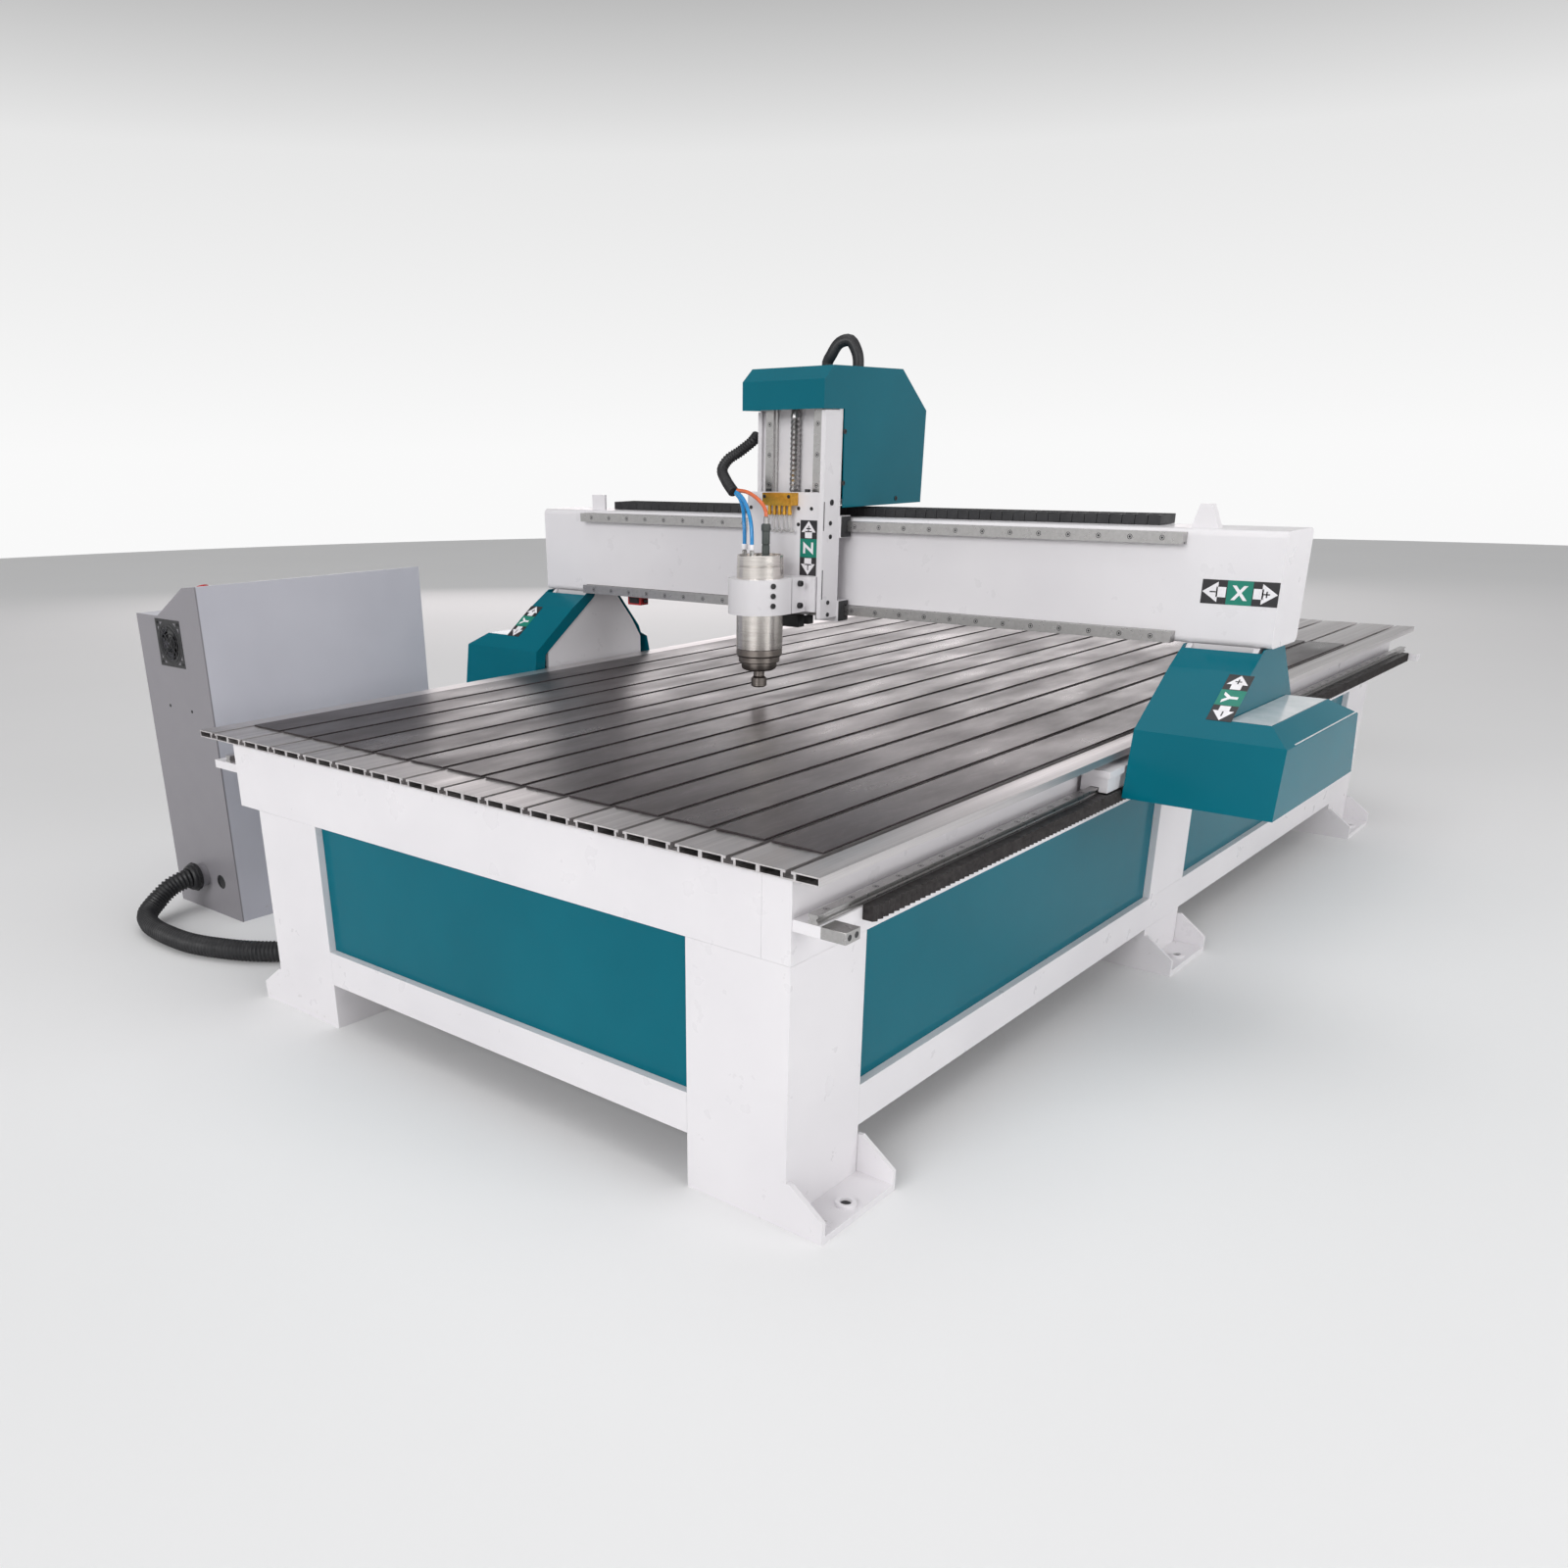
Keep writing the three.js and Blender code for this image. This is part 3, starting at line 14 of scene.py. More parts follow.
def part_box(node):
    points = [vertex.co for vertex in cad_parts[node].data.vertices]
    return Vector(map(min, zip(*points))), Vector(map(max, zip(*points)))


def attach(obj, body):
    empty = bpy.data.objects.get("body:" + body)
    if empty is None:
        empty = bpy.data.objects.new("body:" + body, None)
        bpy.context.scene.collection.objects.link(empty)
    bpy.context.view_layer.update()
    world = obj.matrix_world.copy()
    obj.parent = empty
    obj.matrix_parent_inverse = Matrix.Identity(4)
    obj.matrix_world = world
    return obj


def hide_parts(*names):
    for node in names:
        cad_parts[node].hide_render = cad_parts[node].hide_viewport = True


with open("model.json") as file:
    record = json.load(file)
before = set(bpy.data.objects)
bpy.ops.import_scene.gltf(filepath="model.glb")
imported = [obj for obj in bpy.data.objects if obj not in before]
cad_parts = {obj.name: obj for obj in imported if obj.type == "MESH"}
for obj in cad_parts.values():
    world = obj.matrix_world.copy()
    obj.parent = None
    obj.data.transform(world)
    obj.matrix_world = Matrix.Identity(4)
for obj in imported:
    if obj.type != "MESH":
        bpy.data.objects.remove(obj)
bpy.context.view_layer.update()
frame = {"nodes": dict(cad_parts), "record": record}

MM = 0.001
deck_low, deck_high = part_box("t_slot_deck")
ORIGIN = Vector(((deck_low.x + deck_high.x) / 2, deck_low.y, 0.0))
TO_FRAME = Matrix.Translation(ORIGIN) @ Matrix.Scale(MM, 4)
SCENE = bpy.context.scene

# Faces and lines of the machine that the fittings sit on
X_RAIL_HEIGHTS = (734.0, 907.0)
X_RAIL_FACE = 1109.7
Y_RAIL_TOP = 498.3
Z_RAIL_FACE = 1058.0
Z_RAIL_SIDES = (-140.0, -16.0)
RAIL_SCREW_PITCH = 60.0
POST_SIDE = 24.0
HOOD_SIDES = ((26.5, 1), (-182.5, -1))
PLATE_FACE = 1035.0
BEAM_FACE = 1130.0
CABINET_FACE = 228.0
SPINDLE_AXIS = (-80.0, 952.0)
SPINDLE_CAP = 849.9
STRIP_BOTTOM, STRIP_TOP = 555.4, 558.3

# Directions that faces look in and plates run along
FORWARD = (0, -1, 0)
UPWARD = (0, 0, 1)
RIGHTWARD = (1, 0, 0)


def at(x, y, z):
    """A place in the row frame, in metres."""
    return TO_FRAME @ Vector((x, y, z))


# ---------------------------------------------------------------- camera
def stand_camera():
    """A standing viewer at the machine's front right corner, looking down along it."""
    azimuth, down, roll = (math.radians(angle) for angle in (41.017, 21.855, -0.67))
    sight = Vector(
        (
            -math.sin(azimuth) * math.cos(down),
            math.cos(azimuth) * math.cos(down),
            -math.sin(down),
        )
    )
    level = sight.cross(Vector((0, 0, 1))).normalized()
    upward = level.cross(sight)
    right = level * math.cos(roll) + upward * math.sin(roll)
    top = upward * math.cos(roll) - level * math.sin(roll)
    lens = bpy.data.cameras.new("camera")
    lens.sensor_width = 36.0
    lens.lens = 29.35
    lens.shift_x = 0.0656
    lens.shift_y = 0.1118
    lens.clip_end = 60.0
    camera = bpy.data.objects.new("camera", lens)
    turned_to = Matrix((right, top, -sight)).transposed().to_4x4()
    camera.matrix_world = Matrix.Translation(at(1635.07, -1289.35, 1068.8)) @ turned_to
    SCENE.collection.objects.link(camera)
    SCENE.camera = camera


stand_camera()


# ---------------------------------------------------------------- finishes
class Finish:
    """One surface finish: a shader, and the nodes that vary its colour, gloss and relief."""

    def __init__(self, name, **sockets):
        self.material = bpy.data.materials.new(name)
        self.material.use_nodes = True
        self.tree = self.material.node_tree
        self.shader = self.tree.nodes["Principled BSDF"]
        for socket, value in sockets.items():
            label = socket.replace("_", " ").title().replace("Ior", "IOR")
            if isinstance(value, tuple):
                value = (*value, 1.0)
            self.shader.inputs[label].default_value = value
        self.place = self.add("ShaderNodeTexCoord").outputs["Object"]
        self.relief = None

    def add(self, kind, inputs=None, **settings):
        """A node of that kind, its inputs given as values or as other nodes' outputs."""
        made = self.tree.nodes.new(kind)
        for key, value in settings.items():
            setattr(made, key, value)
        for key, value in (inputs or {}).items():
            if isinstance(value, bpy.types.NodeSocket):
                self.tree.links.new(value, made.inputs[key])
            else:
                made.inputs[key].default_value = value
        return made

    def grain(self, scale, stretch=(1, 1, 1), detail=4.0, roughness=0.55):
        """Noise of that many cells to the metre, drawn out along the axes of small stretch."""
        drawn = self.add("ShaderNodeMapping", {"Vector": self.place, "Scale": stretch})
        return self.add(
            "ShaderNodeTexNoise",
            {
                "Vector": drawn.outputs["Vector"],
                "Scale": scale,
                "Detail": detail,
                "Roughness": roughness,
            },
        ).outputs["Fac"]

    def between(self, factor, low, high, start=0.3, stop=0.7):
        """The factor's start to stop range, spread from low to high."""
        return self.add(
            "ShaderNodeMapRange",
            {"Value": factor, "From Min": start, "From Max": stop, "To Min": low, "To Max": high},
        ).outputs["Result"]

    def along(self, axis, low, high, start, stop):
        """A value that runs from low to high between two places on one axis, in metres."""
        apart = self.add("ShaderNodeSeparateXYZ", {"Vector": self.place})
        return self.between(apart.outputs[axis], low, high, start, stop)

    def blend(self, factor, first, second):
        """A colour between two, each a colour or another blend."""
        made = self.add("ShaderNodeMix", data_type="RGBA", blend_type="MIX")
        self.tree.links.new(factor, made.inputs[0])
        for index, colour in ((6, first), (7, second)):
            if isinstance(colour, tuple):
                made.inputs[index].default_value = (*colour, 1.0)
            else:
                self.tree.links.new(colour, made.inputs[index])
        return made.outputs[2]

    def product(self, first, second):
        """One value times another."""
        made = self.add("ShaderNodeMath", operation="MULTIPLY")
        for index, value in enumerate((first, second)):
            if isinstance(value, bpy.types.NodeSocket):
                self.tree.links.new(value, made.inputs[index])
            else:
                made.inputs[index].default_value = value
        return made.outputs["Value"]

    def colour(self, source):
        """Takes the finish's colour from there."""
        self.tree.links.new(source, self.shader.inputs["Base Color"])
        return self

    def gloss(self, source):
        """Takes the finish's roughness from there."""
        self.tree.links.new(source, self.shader.inputs["Roughness"])
        return self

    def raise_relief(self, height, strength, depth_mm):
        """Adds a relief of that depth over any laid before it."""
        made = self.add(
            "ShaderNodeBump", {"Height": height, "Strength": strength, "Distance": depth_mm * MM}
        )
        if self.relief:
            self.tree.links.new(self.relief, made.inputs["Normal"])
        self.relief = made.outputs["Normal"]
        self.tree.links.new(self.relief, self.shader.inputs["Normal"])
        return self


def enamel(
    name, main, shade, gloss_low, gloss_high, shine, grime=(0.25, 0.23, 0.21), front=None
):
    """Sprayed enamel: orange peel, soft changes of tone, and scuffs low down by the floor.

    front is a painted shade for the faces at the front: its dark colour, and the Y where that shade
    ends, in metres.
    """
    paint = Finish(name, specular_ior_level=shine)
    broad = paint.grain(2.6, detail=3.0)
    tone = paint.blend(paint.between(broad, 0.0, 1.0), main, shade)
    if front:
        # Painted shade: the faces in front of that Y take the darker colour.
        tone = paint.blend(paint.along("Y", 1.0, 0.0, front[1], front[1] + MM), tone, front[0])
    low = paint.along("Z", 1.0, 0.0, 0.0, 0.11)
    scuff = paint.between(paint.grain(34.0, detail=8.0, roughness=0.7), 0.0, 0.7, 0.63, 0.72)
    paint.colour(paint.blend(paint.product(low, scuff), tone, grime))
    paint.gloss(paint.between(paint.grain(19.0), gloss_low, gloss_high))
    paint.raise_relief(paint.grain(420.0, detail=2.0), 0.08, 0.10)
    paint.raise_relief(paint.grain(9.0, detail=2.0), 0.06, 0.6)
    return paint.material


def metal(name, light, dark, gloss_low, gloss_high, cells, stretch, strength=0.12, metallic=1.0):
    """Bare metal with tool or drawing marks that run along the axis of small stretch."""
    bare = Finish(name, metallic=metallic)
    marks = bare.grain(cells, stretch, detail=6.0, roughness=0.65)
    tone = bare.blend(bare.between(marks, 0.0, 1.0), light, dark)
    stains = bare.between(bare.grain(5.0, detail=5.0), 0.0, 0.2, 0.5, 0.75)
    bare.colour(bare.blend(stains, tone, dark))
    bare.gloss(bare.between(bare.grain(cells * 0.6, stretch), gloss_low, gloss_high))
    bare.raise_relief(marks, strength, 0.05)
    return bare.material


def moulded(name, main, worn, gloss_low, gloss_high, cells=520.0, strength=0.2, **sockets):
    """Moulded plastic or rubber with a fine grain and a little handling wear."""
    cast = Finish(name, **sockets)
    handled = cast.between(cast.grain(14.0, detail=6.0, roughness=0.7), 0.0, 1.0, 0.45, 0.7)
    cast.colour(cast.blend(handled, main, worn))
    cast.gloss(cast.between(cast.grain(30.0), gloss_low, gloss_high))
    cast.raise_relief(cast.grain(cells, detail=2.0), strength, 0.08)
    return cast.material


def deck_sheeting():
    """Dark pressed sheet, glossy, with drag marks, dust and a warm bloom."""
    sheet = Finish("deck_sheeting", specular_ior_level=0.55)
    cloud = sheet.between(sheet.grain(4.5, detail=5.0), 0.0, 1.0)
    dust = sheet.between(sheet.grain(90.0, (1, 0.25, 1), 8.0, 0.75), 0.0, 0.55, 0.5, 0.72)
    tone = sheet.blend(cloud, (0.022, 0.016, 0.018), (0.040, 0.030, 0.033))
    sheet.colour(sheet.blend(dust, tone, (0.11, 0.092, 0.095)))
    sheet.gloss(sheet.between(sheet.grain(11.0, (1, 0.3, 1), 6.0), 0.24, 0.42))
    sheet.raise_relief(sheet.grain(260.0, (1, 0.15, 1), 6.0), 0.16, 0.10)
    sheet.raise_relief(sheet.grain(6.0, detail=1.0), 0.12, 1.0)
    return sheet.material


WHITE = enamel("white_enamel", (0.80, 0.78, 0.80), (0.73, 0.71, 0.735), 0.26, 0.38, 0.45)
TEAL = enamel(
    "teal_enamel", (0.0, 0.140, 0.192), (0.0, 0.118, 0.164), 0.12, 0.20, 0.13, (0.0, 0.07, 0.08)
)
# The cabinet's front face is painted a dark grey, as painted shade in front of y = 231 mm.
GREY = enamel(
    "grey_enamel", (0.62, 0.62, 0.68), (0.55, 0.55, 0.61), 0.30, 0.44, 0.35,
    front=((0.25, 0.24, 0.26), at(0, 231, 0).y),
)
ALUMINIUM = metal(
    "extruded_aluminium", (0.80, 0.775, 0.775), (0.56, 0.535, 0.54), 0.30, 0.46, 70.0, (1, 0.012, 1)
)
GROUND = metal(
    "ground_steel", (0.50, 0.49, 0.485), (0.42, 0.41, 0.405), 0.26, 0.34, 160.0, (1, 1, 1), 0.06
)
BRUSHED = metal(
    "brushed_stainless", (0.76, 0.72, 0.68), (0.60, 0.56, 0.53), 0.17, 0.28, 260.0, (0.05, 0.05, 1)
)
NOSE = metal(
    "nose_steel", (0.36, 0.32, 0.295), (0.25, 0.22, 0.20), 0.26, 0.38, 300.0, (0.05, 0.05, 1)
)
OILED = metal(
    "oiled_rack", (0.055, 0.05, 0.05), (0.02, 0.018, 0.018), 0.32, 0.5, 120.0, (1, 1, 1), 0.2, 0.7
)
BLACK = moulded("black_moulding", (0.014, 0.014, 0.016), (0.03, 0.03, 0.032), 0.36, 0.52)
RUBBER = moulded("hose_rubber", (0.010, 0.010, 0.012), (0.028, 0.028, 0.03), 0.42, 0.6, 300.0)
SHEETING = deck_sheeting()
BRASS = metal("brass_fitting", (0.78, 0.44, 0.07), (0.52, 0.27, 0.04), 0.28, 0.4, 140.0, (1, 1, 1))
RED = moulded("red_moulding", (0.50, 0.012, 0.012), (0.36, 0.01, 0.01), 0.24, 0.36)
PRINT_BLACK = moulded("print_black", (0.016, 0.015, 0.018), (0.03, 0.028, 0.032), 0.34, 0.44)
PRINT_WHITE = moulded("print_white", (0.86, 0.84, 0.87), (0.76, 0.74, 0.77), 0.34, 0.44)
PRINT_GREEN = moulded("print_green", (0.0, 0.21, 0.145), (0.0, 0.17, 0.12), 0.34, 0.44)
BLUE_TUBE = moulded("blue_tube", (0.02, 0.25, 0.58), (0.03, 0.32, 0.66), 0.14, 0.22)
ORANGE_TUBE = moulded("orange_tube", (0.75, 0.17, 0.06), (0.62, 0.13, 0.05), 0.2, 0.3)
CLEAR_TUBE = moulded(
    "clear_tube", (0.78, 0.77, 0.76), (0.62, 0.61, 0.60), 0.12, 0.22, transmission_weight=0.55
)
# The protective film on the gantry cover, coloured pale and glossy as a painted reflection on the
# teal.
FILM_PAINTED_REFLECTION = moulded("cover_film_painted_reflection", (0.70, 0.72, 0.74), (0.52, 0.58, 0.60), 0.10, 0.20, 60.0, 0.4)
PLUG = moulded("plug_casting", (0.045, 0.055, 0.052), (0.09, 0.10, 0.096), 0.34, 0.5)

SLOT_FINISHES = {
    "white_enamel": WHITE,
    "teal_enamel": TEAL,
    "grey_enamel": GREY,
    "extruded_aluminium": ALUMINIUM,
    "ground_steel": GROUND,
    "black_plastic": BLACK,
    "deck_plastic": SHEETING,
    "brass_fitting": BRASS,
    "red_plastic": RED,
    "hose_rubber": RUBBER,
    "blackened_steel": OILED,
}

for part in frame["record"]["subparts"]:
    node = frame["nodes"][part["node"]]
    coat = NOSE if part["node"] == "spindle_shaft" else SLOT_FINISHES[part["material_slot"]]
    if not node.material_slots:
        node.data.materials.append(coat)
    for held in node.material_slots:
        held.material = coat


# ---------------------------------------------------------------- shapes
def carry(target, shape, placed=None):
    """Moves a made shape into a piece."""
    if placed:
        shape.transform(placed)
    carried = bpy.data.meshes.new("carried")
    shape.to_mesh(carried)
    shape.free()
    target.from_mesh(carried)
    bpy.data.meshes.remove(carried)


def press(target, shape, finish, placed=None):
    """Moves a made shape into a piece, with the piece's finish of that number."""
    for face in shape.faces:
        face.material_index = finish
    carry(target, shape, placed)


def bar(target, low, high, finish=0, edge=0.5, placed=None, pinch=None, sunk=None):
    """A block with broken edges. pinch draws one end to a point; sunk sets its top in."""
    shape = bmesh.new()
    bmesh.ops.create_cube(shape, size=1.0)
    if pinch:
        tip = [vert for vert in shape.verts if vert.co.x * pinch > 0]
        bmesh.ops.scale(shape, vec=(1, 0, 1), verts=tip)
        bmesh.ops.remove_doubles(shape, verts=shape.verts, dist=1e-4)
    low, high = Vector(low), Vector(high)
    bmesh.ops.scale(shape, vec=high - low, verts=shape.verts)
    bmesh.ops.translate(shape, vec=(high + low) / 2, verts=shape.verts)
    if edge:
        bmesh.ops.bevel(
            shape, geom=shape.edges[:], offset=edge, affect="EDGES", segments=2, profile=0.5,
            material=-1, clamp_overlap=True,
        )
    if sunk:
        top = max(shape.faces, key=lambda face: face.normal.z * face.calc_area())
        bmesh.ops.inset_individual(shape, faces=[top], thickness=sunk[0], depth=-sunk[1])
    press(target, shape, finish, placed)


def turned(target, outline, finish=0, placed=None, steps=32, ring=False):
    """A turned shape: radius and height pairs spun about Z. A ring's outline closes on itself."""
    shape = bmesh.new()
    chain = [shape.verts.new((radius, 0, height)) for radius, height in outline]
    closing = [(chain[-1], chain[0])] if ring else []
    sides = [shape.edges.new(pair) for pair in [*zip(chain, chain[1:]), *closing]]
    bmesh.ops.spin(
        shape, geom=chain + sides, angle=math.tau, steps=steps, axis=(0, 0, 1), cent=(0, 0, 0),
        use_merge=True,
    )
    bmesh.ops.remove_doubles(shape, verts=shape.verts, dist=1e-4)
    bmesh.ops.recalc_face_normals(shape, faces=shape.faces)
    press(target, shape, finish, placed)


def facing(point, normal, along=None):
    """The placing that stands a shape's Z on a surface, with its X along it."""
    out = Vector(normal).normalized()
    first = Vector(along).normalized() if along else out.orthogonal().normalized()
    turn = Matrix((first, out.cross(first), out)).transposed().to_4x4()
    return Matrix.Translation(Vector(point)) @ turn


def cap_screw(target, point, normal, radius, height, finish=0):
    """A socket cap screw's head."""
    outline = (
        (0, 0), (radius, 0), (radius, 0.86 * height), (0.9 * radius, height),
        (0.55 * radius, height), (0.5 * radius, 0.4 * height), (0, 0.4 * height),
    )
    turned(target, outline, finish, facing(point, normal), steps=14)


def rail_screws(target, points, normal, radius=5.2):
    """A row of sunk rail screws: a bright head, with painted shade as a black ring for the bore and
    a black disc for the socket.
    """
    stand_off = 0.12
    for point in points:
        shape = bmesh.new()
        bmesh.ops.create_circle(shape, cap_ends=True, segments=12, radius=radius)
        middle = shape.faces[:]
        # The outer ring and the middle keep finish 0, black: painted shade for the bore and the
        # socket.
        bmesh.ops.inset_individual(shape, faces=middle, thickness=0.22 * radius, depth=0.0)
        head = bmesh.ops.inset_individual(shape, faces=middle, thickness=0.34 * radius, depth=0.02)
        for face in head["faces"]:
            face.material_index = 1
        carry(target, shape, facing(Vector(point) + Vector(normal) * stand_off, normal))


def fitted(piece, body, stands_for):
    """Puts a piece on the body that it rides on, for the nodes that it stands for."""
    SCENE.collection.objects.link(piece)
    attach(piece, body)
    if stands_for:
        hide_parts(*stands_for)
    return piece


def finished(name, body, slot, shape, *finishes, stands_for=()):
    """Makes a piece of a shape, smooth but for its edges of over 20 degrees."""
    shape.transform(TO_FRAME)
    mesh = bpy.data.meshes.new(name)
    shape.to_mesh(mesh)
    shape.free()
    for finish in finishes:
        mesh.materials.append(finish)
    mesh.shade_smooth()
    mesh.set_sharp_from_angle(angle=math.radians(20))
    return fitted(bpy.data.objects.new(name, mesh), body, stands_for)


def smooth_route(stations, steps=10):
    """A centripetal spline through the stations."""
    stations = [Vector(station) for station in stations]
    line = [2 * stations[0] - stations[1], *stations, 2 * stations[-1] - stations[-2]]
    route = []
    for a, b, c, d in zip(line, line[1:], line[2:], line[3:]):
        before, span, after = (math.sqrt((q - p).length) for p, q in ((a, b), (b, c), (c, d)))
        leave = ((b - a) / before - (c - a) / (before + span) + (c - b) / span) * span
        arrive = ((c - b) / span - (d - b) / (span + after) + (d - c) / after) * span
        for step in range(steps):
            t = step / steps
            route.append(
                b * (2 * t**3 - 3 * t**2 + 1) + leave * (t**3 - 2 * t**2 + t)
                + c * (3 * t**2 - 2 * t**3) + arrive * (t**3 - t**2)
            )
    return [*route, stations[-1]]


def evenly(route, spacing):
    """The route's points, moved to one spacing."""
    lengths = [(b - a).length for a, b in zip(route, route[1:])]
    count = max(2, round(sum(lengths) / spacing))
    step = sum(lengths) / count
    even, covered, index = [route[0]], 0.0, 0
    for number in range(1, count):
        while covered + lengths[index] < number * step:
            covered += lengths[index]
            index += 1
        share = (number * step - covered) / lengths[index]
        even.append(route[index].lerp(route[index + 1], share))
    return [*even, route[-1]]


PLAIN_TUBE_STEP = 3.0


def tube(name, routes, radius, body, finish, rings=None, stands_for=()):
    """Tubes along routes. rings is the pitch of a corrugated tube's ribs, each of four points."""
    waist = 0.86
    line = bpy.data.curves.new(name, "CURVE")
    line.dimensions = "3D"
    line.bevel_depth = radius * MM
    line.bevel_resolution = 4
    line.use_fill_caps = True
    line.materials.append(finish)
    for stations in routes:
        points = evenly(smooth_route(stations), rings / 4 if rings else PLAIN_TUBE_STEP)
        run = line.splines.new("POLY")
        run.points.add(len(points) - 1)
        for index, point in enumerate(points):
            run.points[index].co = (*at(*point), 1.0)
            run.points[index].radius = waist if rings and index % 4 > 1 else 1.0
        run.use_smooth = True
    return fitted(bpy.data.objects.new(name, line), body, stands_for)


# ---------------------------------------------------------------- the cable conduit
CONDUIT_ROUTE = (
    (-1258, 206, 92), (-1258, 194, 92), (-1262, 172, 89), (-1270, 140, 76), (-1272, 104, 52),
    (-1256, 68, 33), (-1216, 48, 26), (-1160, 36, 25), (-1090, 33, 25), (-1010, 39, 25),
    (-930, 64, 25), (-850, 104, 25), (-780, 162, 25), (-718, 226, 25), (-660, 282, 26),
    (-596, 316, 32), (-534, 304, 44), (-498, 262, 56), (-494, 219, 60), (-494, 197.6, 60),
)
CONDUIT_RADIUS = 24.0

conduit = tube(
    "corrugated_conduit", [CONDUIT_ROUTE], CONDUIT_RADIUS, "bed", RUBBER, rings=9.0,
    stands_for=["cable_conduit"],
)

GLAND_PLACE = facing((-1258, 207, 92), FORWARD)
GLAND_GRIPS = 12
gland = bmesh.new()
turned(
    gland,
    ((24.5, -1), (33, -1), (34, 1), (34, 9), (31, 10), (31, 17), (28, 21), (24.5, 21)),
    placed=GLAND_PLACE, steps=36, ring=True,
)
for grip in range(GLAND_GRIPS):
    bar(
        gland, (32.6, -3.2, 1.5), (35.4, 3.2, 8.5), edge=0.8,
        placed=GLAND_PLACE @ Matrix.Rotation(math.tau * grip / GLAND_GRIPS, 4, "Z"),
    )
finished("conduit_gland", "bed", "black_plastic", gland, BLACK)


# ---------------------------------------------------------------- bed
SLOT_PITCH = 100
FIRST_SLOT = -700
STRIP_WIDTH = 88
STRIP_FRONT, STRIP_REAR = 88, 2519.5
strips = bmesh.new()
for number in range(14):
    start = FIRST_SLOT + SLOT_PITCH * number + (SLOT_PITCH - STRIP_WIDTH) / 2
    low = (start, STRIP_FRONT, STRIP_BOTTOM)
    bar(strips, low, (start + STRIP_WIDTH, STRIP_REAR, STRIP_TOP), edge=0.4)
finished("deck_strips", "bed", "deck_plastic", strips, SHEETING, stands_for=["deck_sheet"])

rail_bolts = bmesh.new()
for side, first in ((733, 42), (-733, 72)):
    row = [(side, first + RAIL_SCREW_PITCH * step, Y_RAIL_TOP) for step in range(49)]
    rail_screws(rail_bolts, row, UPWARD, 4.6)
finished("y_rail_screws", "bed", "ground_steel", rail_bolts, BLACK, GROUND)

STOP_INNER, STOP_OUTER = 745.4, 785.2
STOP_LOW, STOP_HIGH = 466.8, 484.2
stops = bmesh.new()
for side, front in ((1, 12), (-1, 2961)):
    inner, outer = sorted((side * STOP_INNER, side * STOP_OUTER))
    bar(stops, (inner, front - 0.2, STOP_LOW), (outer, front + 34.2, STOP_HIGH), 0, 0.8)
    # Each hole is a flat black disc, painted shade for the inside of the hole.
    for depth in (front + 9, front + 25):
        hole = (side * (STOP_OUTER + 0.05), depth, (STOP_LOW + STOP_HIGH) / 2)
        turned(
            stops, ((0, 0), (3.4, 0), (4.2, 0.25), (4.6, 0), (0, -0.2)), 1,
            facing(hole, (side, 0, 0)), steps=16,
        )
finished("stop_block_caps", "bed", "ground_steel", stops, GROUND, BLACK)

washers = bmesh.new()
for side in (741, -628):
    for depth in (108, 1406, 2734):
        hole = Matrix.Translation((side, depth, 0))
        turned(
            washers, ((9.6, 15.6), (16, 15.6), (16.6, 16.4), (16, 17.4), (9.6, 17.4)),
            placed=hole, steps=28, ring=True,
        )
        turned(washers, ((0, 12.3), (8.6, 12.3), (8.6, 12.8), (0, 12.8)), 1, hole, 24)
finished("foot_washers", "bed", "white_enamel", washers, WHITE, BLACK)


# ---------------------------------------------------------------- control cabinet
FAN_SIDE, FAN_HEIGHT = -1247, 657
FAN_PLACE = facing((FAN_SIDE, CABINET_FACE - 0.3, FAN_HEIGHT), FORWARD, RIGHTWARD)
GUARD_HALF, GUARD_INNER = 54, 47
GUARD_CORNERS = [(side, level) for side in (-45, 45) for level in (-45, 45)]
guard = bmesh.new()
for radius in (44, 33, 22, 11):
    turned(
        guard,
        ((radius - 1, 0.5), (radius - 0.7, 1.8), (radius + 0.7, 1.8), (radius + 1, 0.5)),
        placed=FAN_PLACE, steps=40, ring=True,
    )
for eighth in (1, 3):
    bar(
        guard, (-50, -1.4, 0.2), (50, 1.4, 1.6), edge=0.4,
        placed=FAN_PLACE @ Matrix.Rotation(math.tau * eighth / 8, 4, "Z"),
    )
for low, high in (
    ((-GUARD_HALF, -GUARD_HALF), (GUARD_HALF, -GUARD_INNER)),
    ((-GUARD_HALF, GUARD_INNER), (GUARD_HALF, GUARD_HALF)),
    ((-GUARD_HALF, -GUARD_INNER), (-GUARD_INNER, GUARD_INNER)),
    ((GUARD_INNER, -GUARD_INNER), (GUARD_HALF, GUARD_INNER)),
):
    bar(guard, (*low, -0.6), (*high, 0.8), edge=0.4, placed=FAN_PLACE)
turned(guard, ((38, 0.3), (38, 1.0), (52, 1.0), (52, 0.3)), placed=FAN_PLACE, steps=40, ring=True)
for side, level in GUARD_CORNERS:
    bar(
        guard, (side - 9, level - 9, -0.4), (side + 9, level + 9, 0.9), edge=0.4,
        placed=FAN_PLACE,
    )
    corner = (FAN_SIDE + side, CABINET_FACE - 1.2, FAN_HEIGHT + level)
    cap_screw(guard, corner, FORWARD, 3.6, 1.2)
finished("fan_guard", "bed", "black_plastic", guard, BLACK)

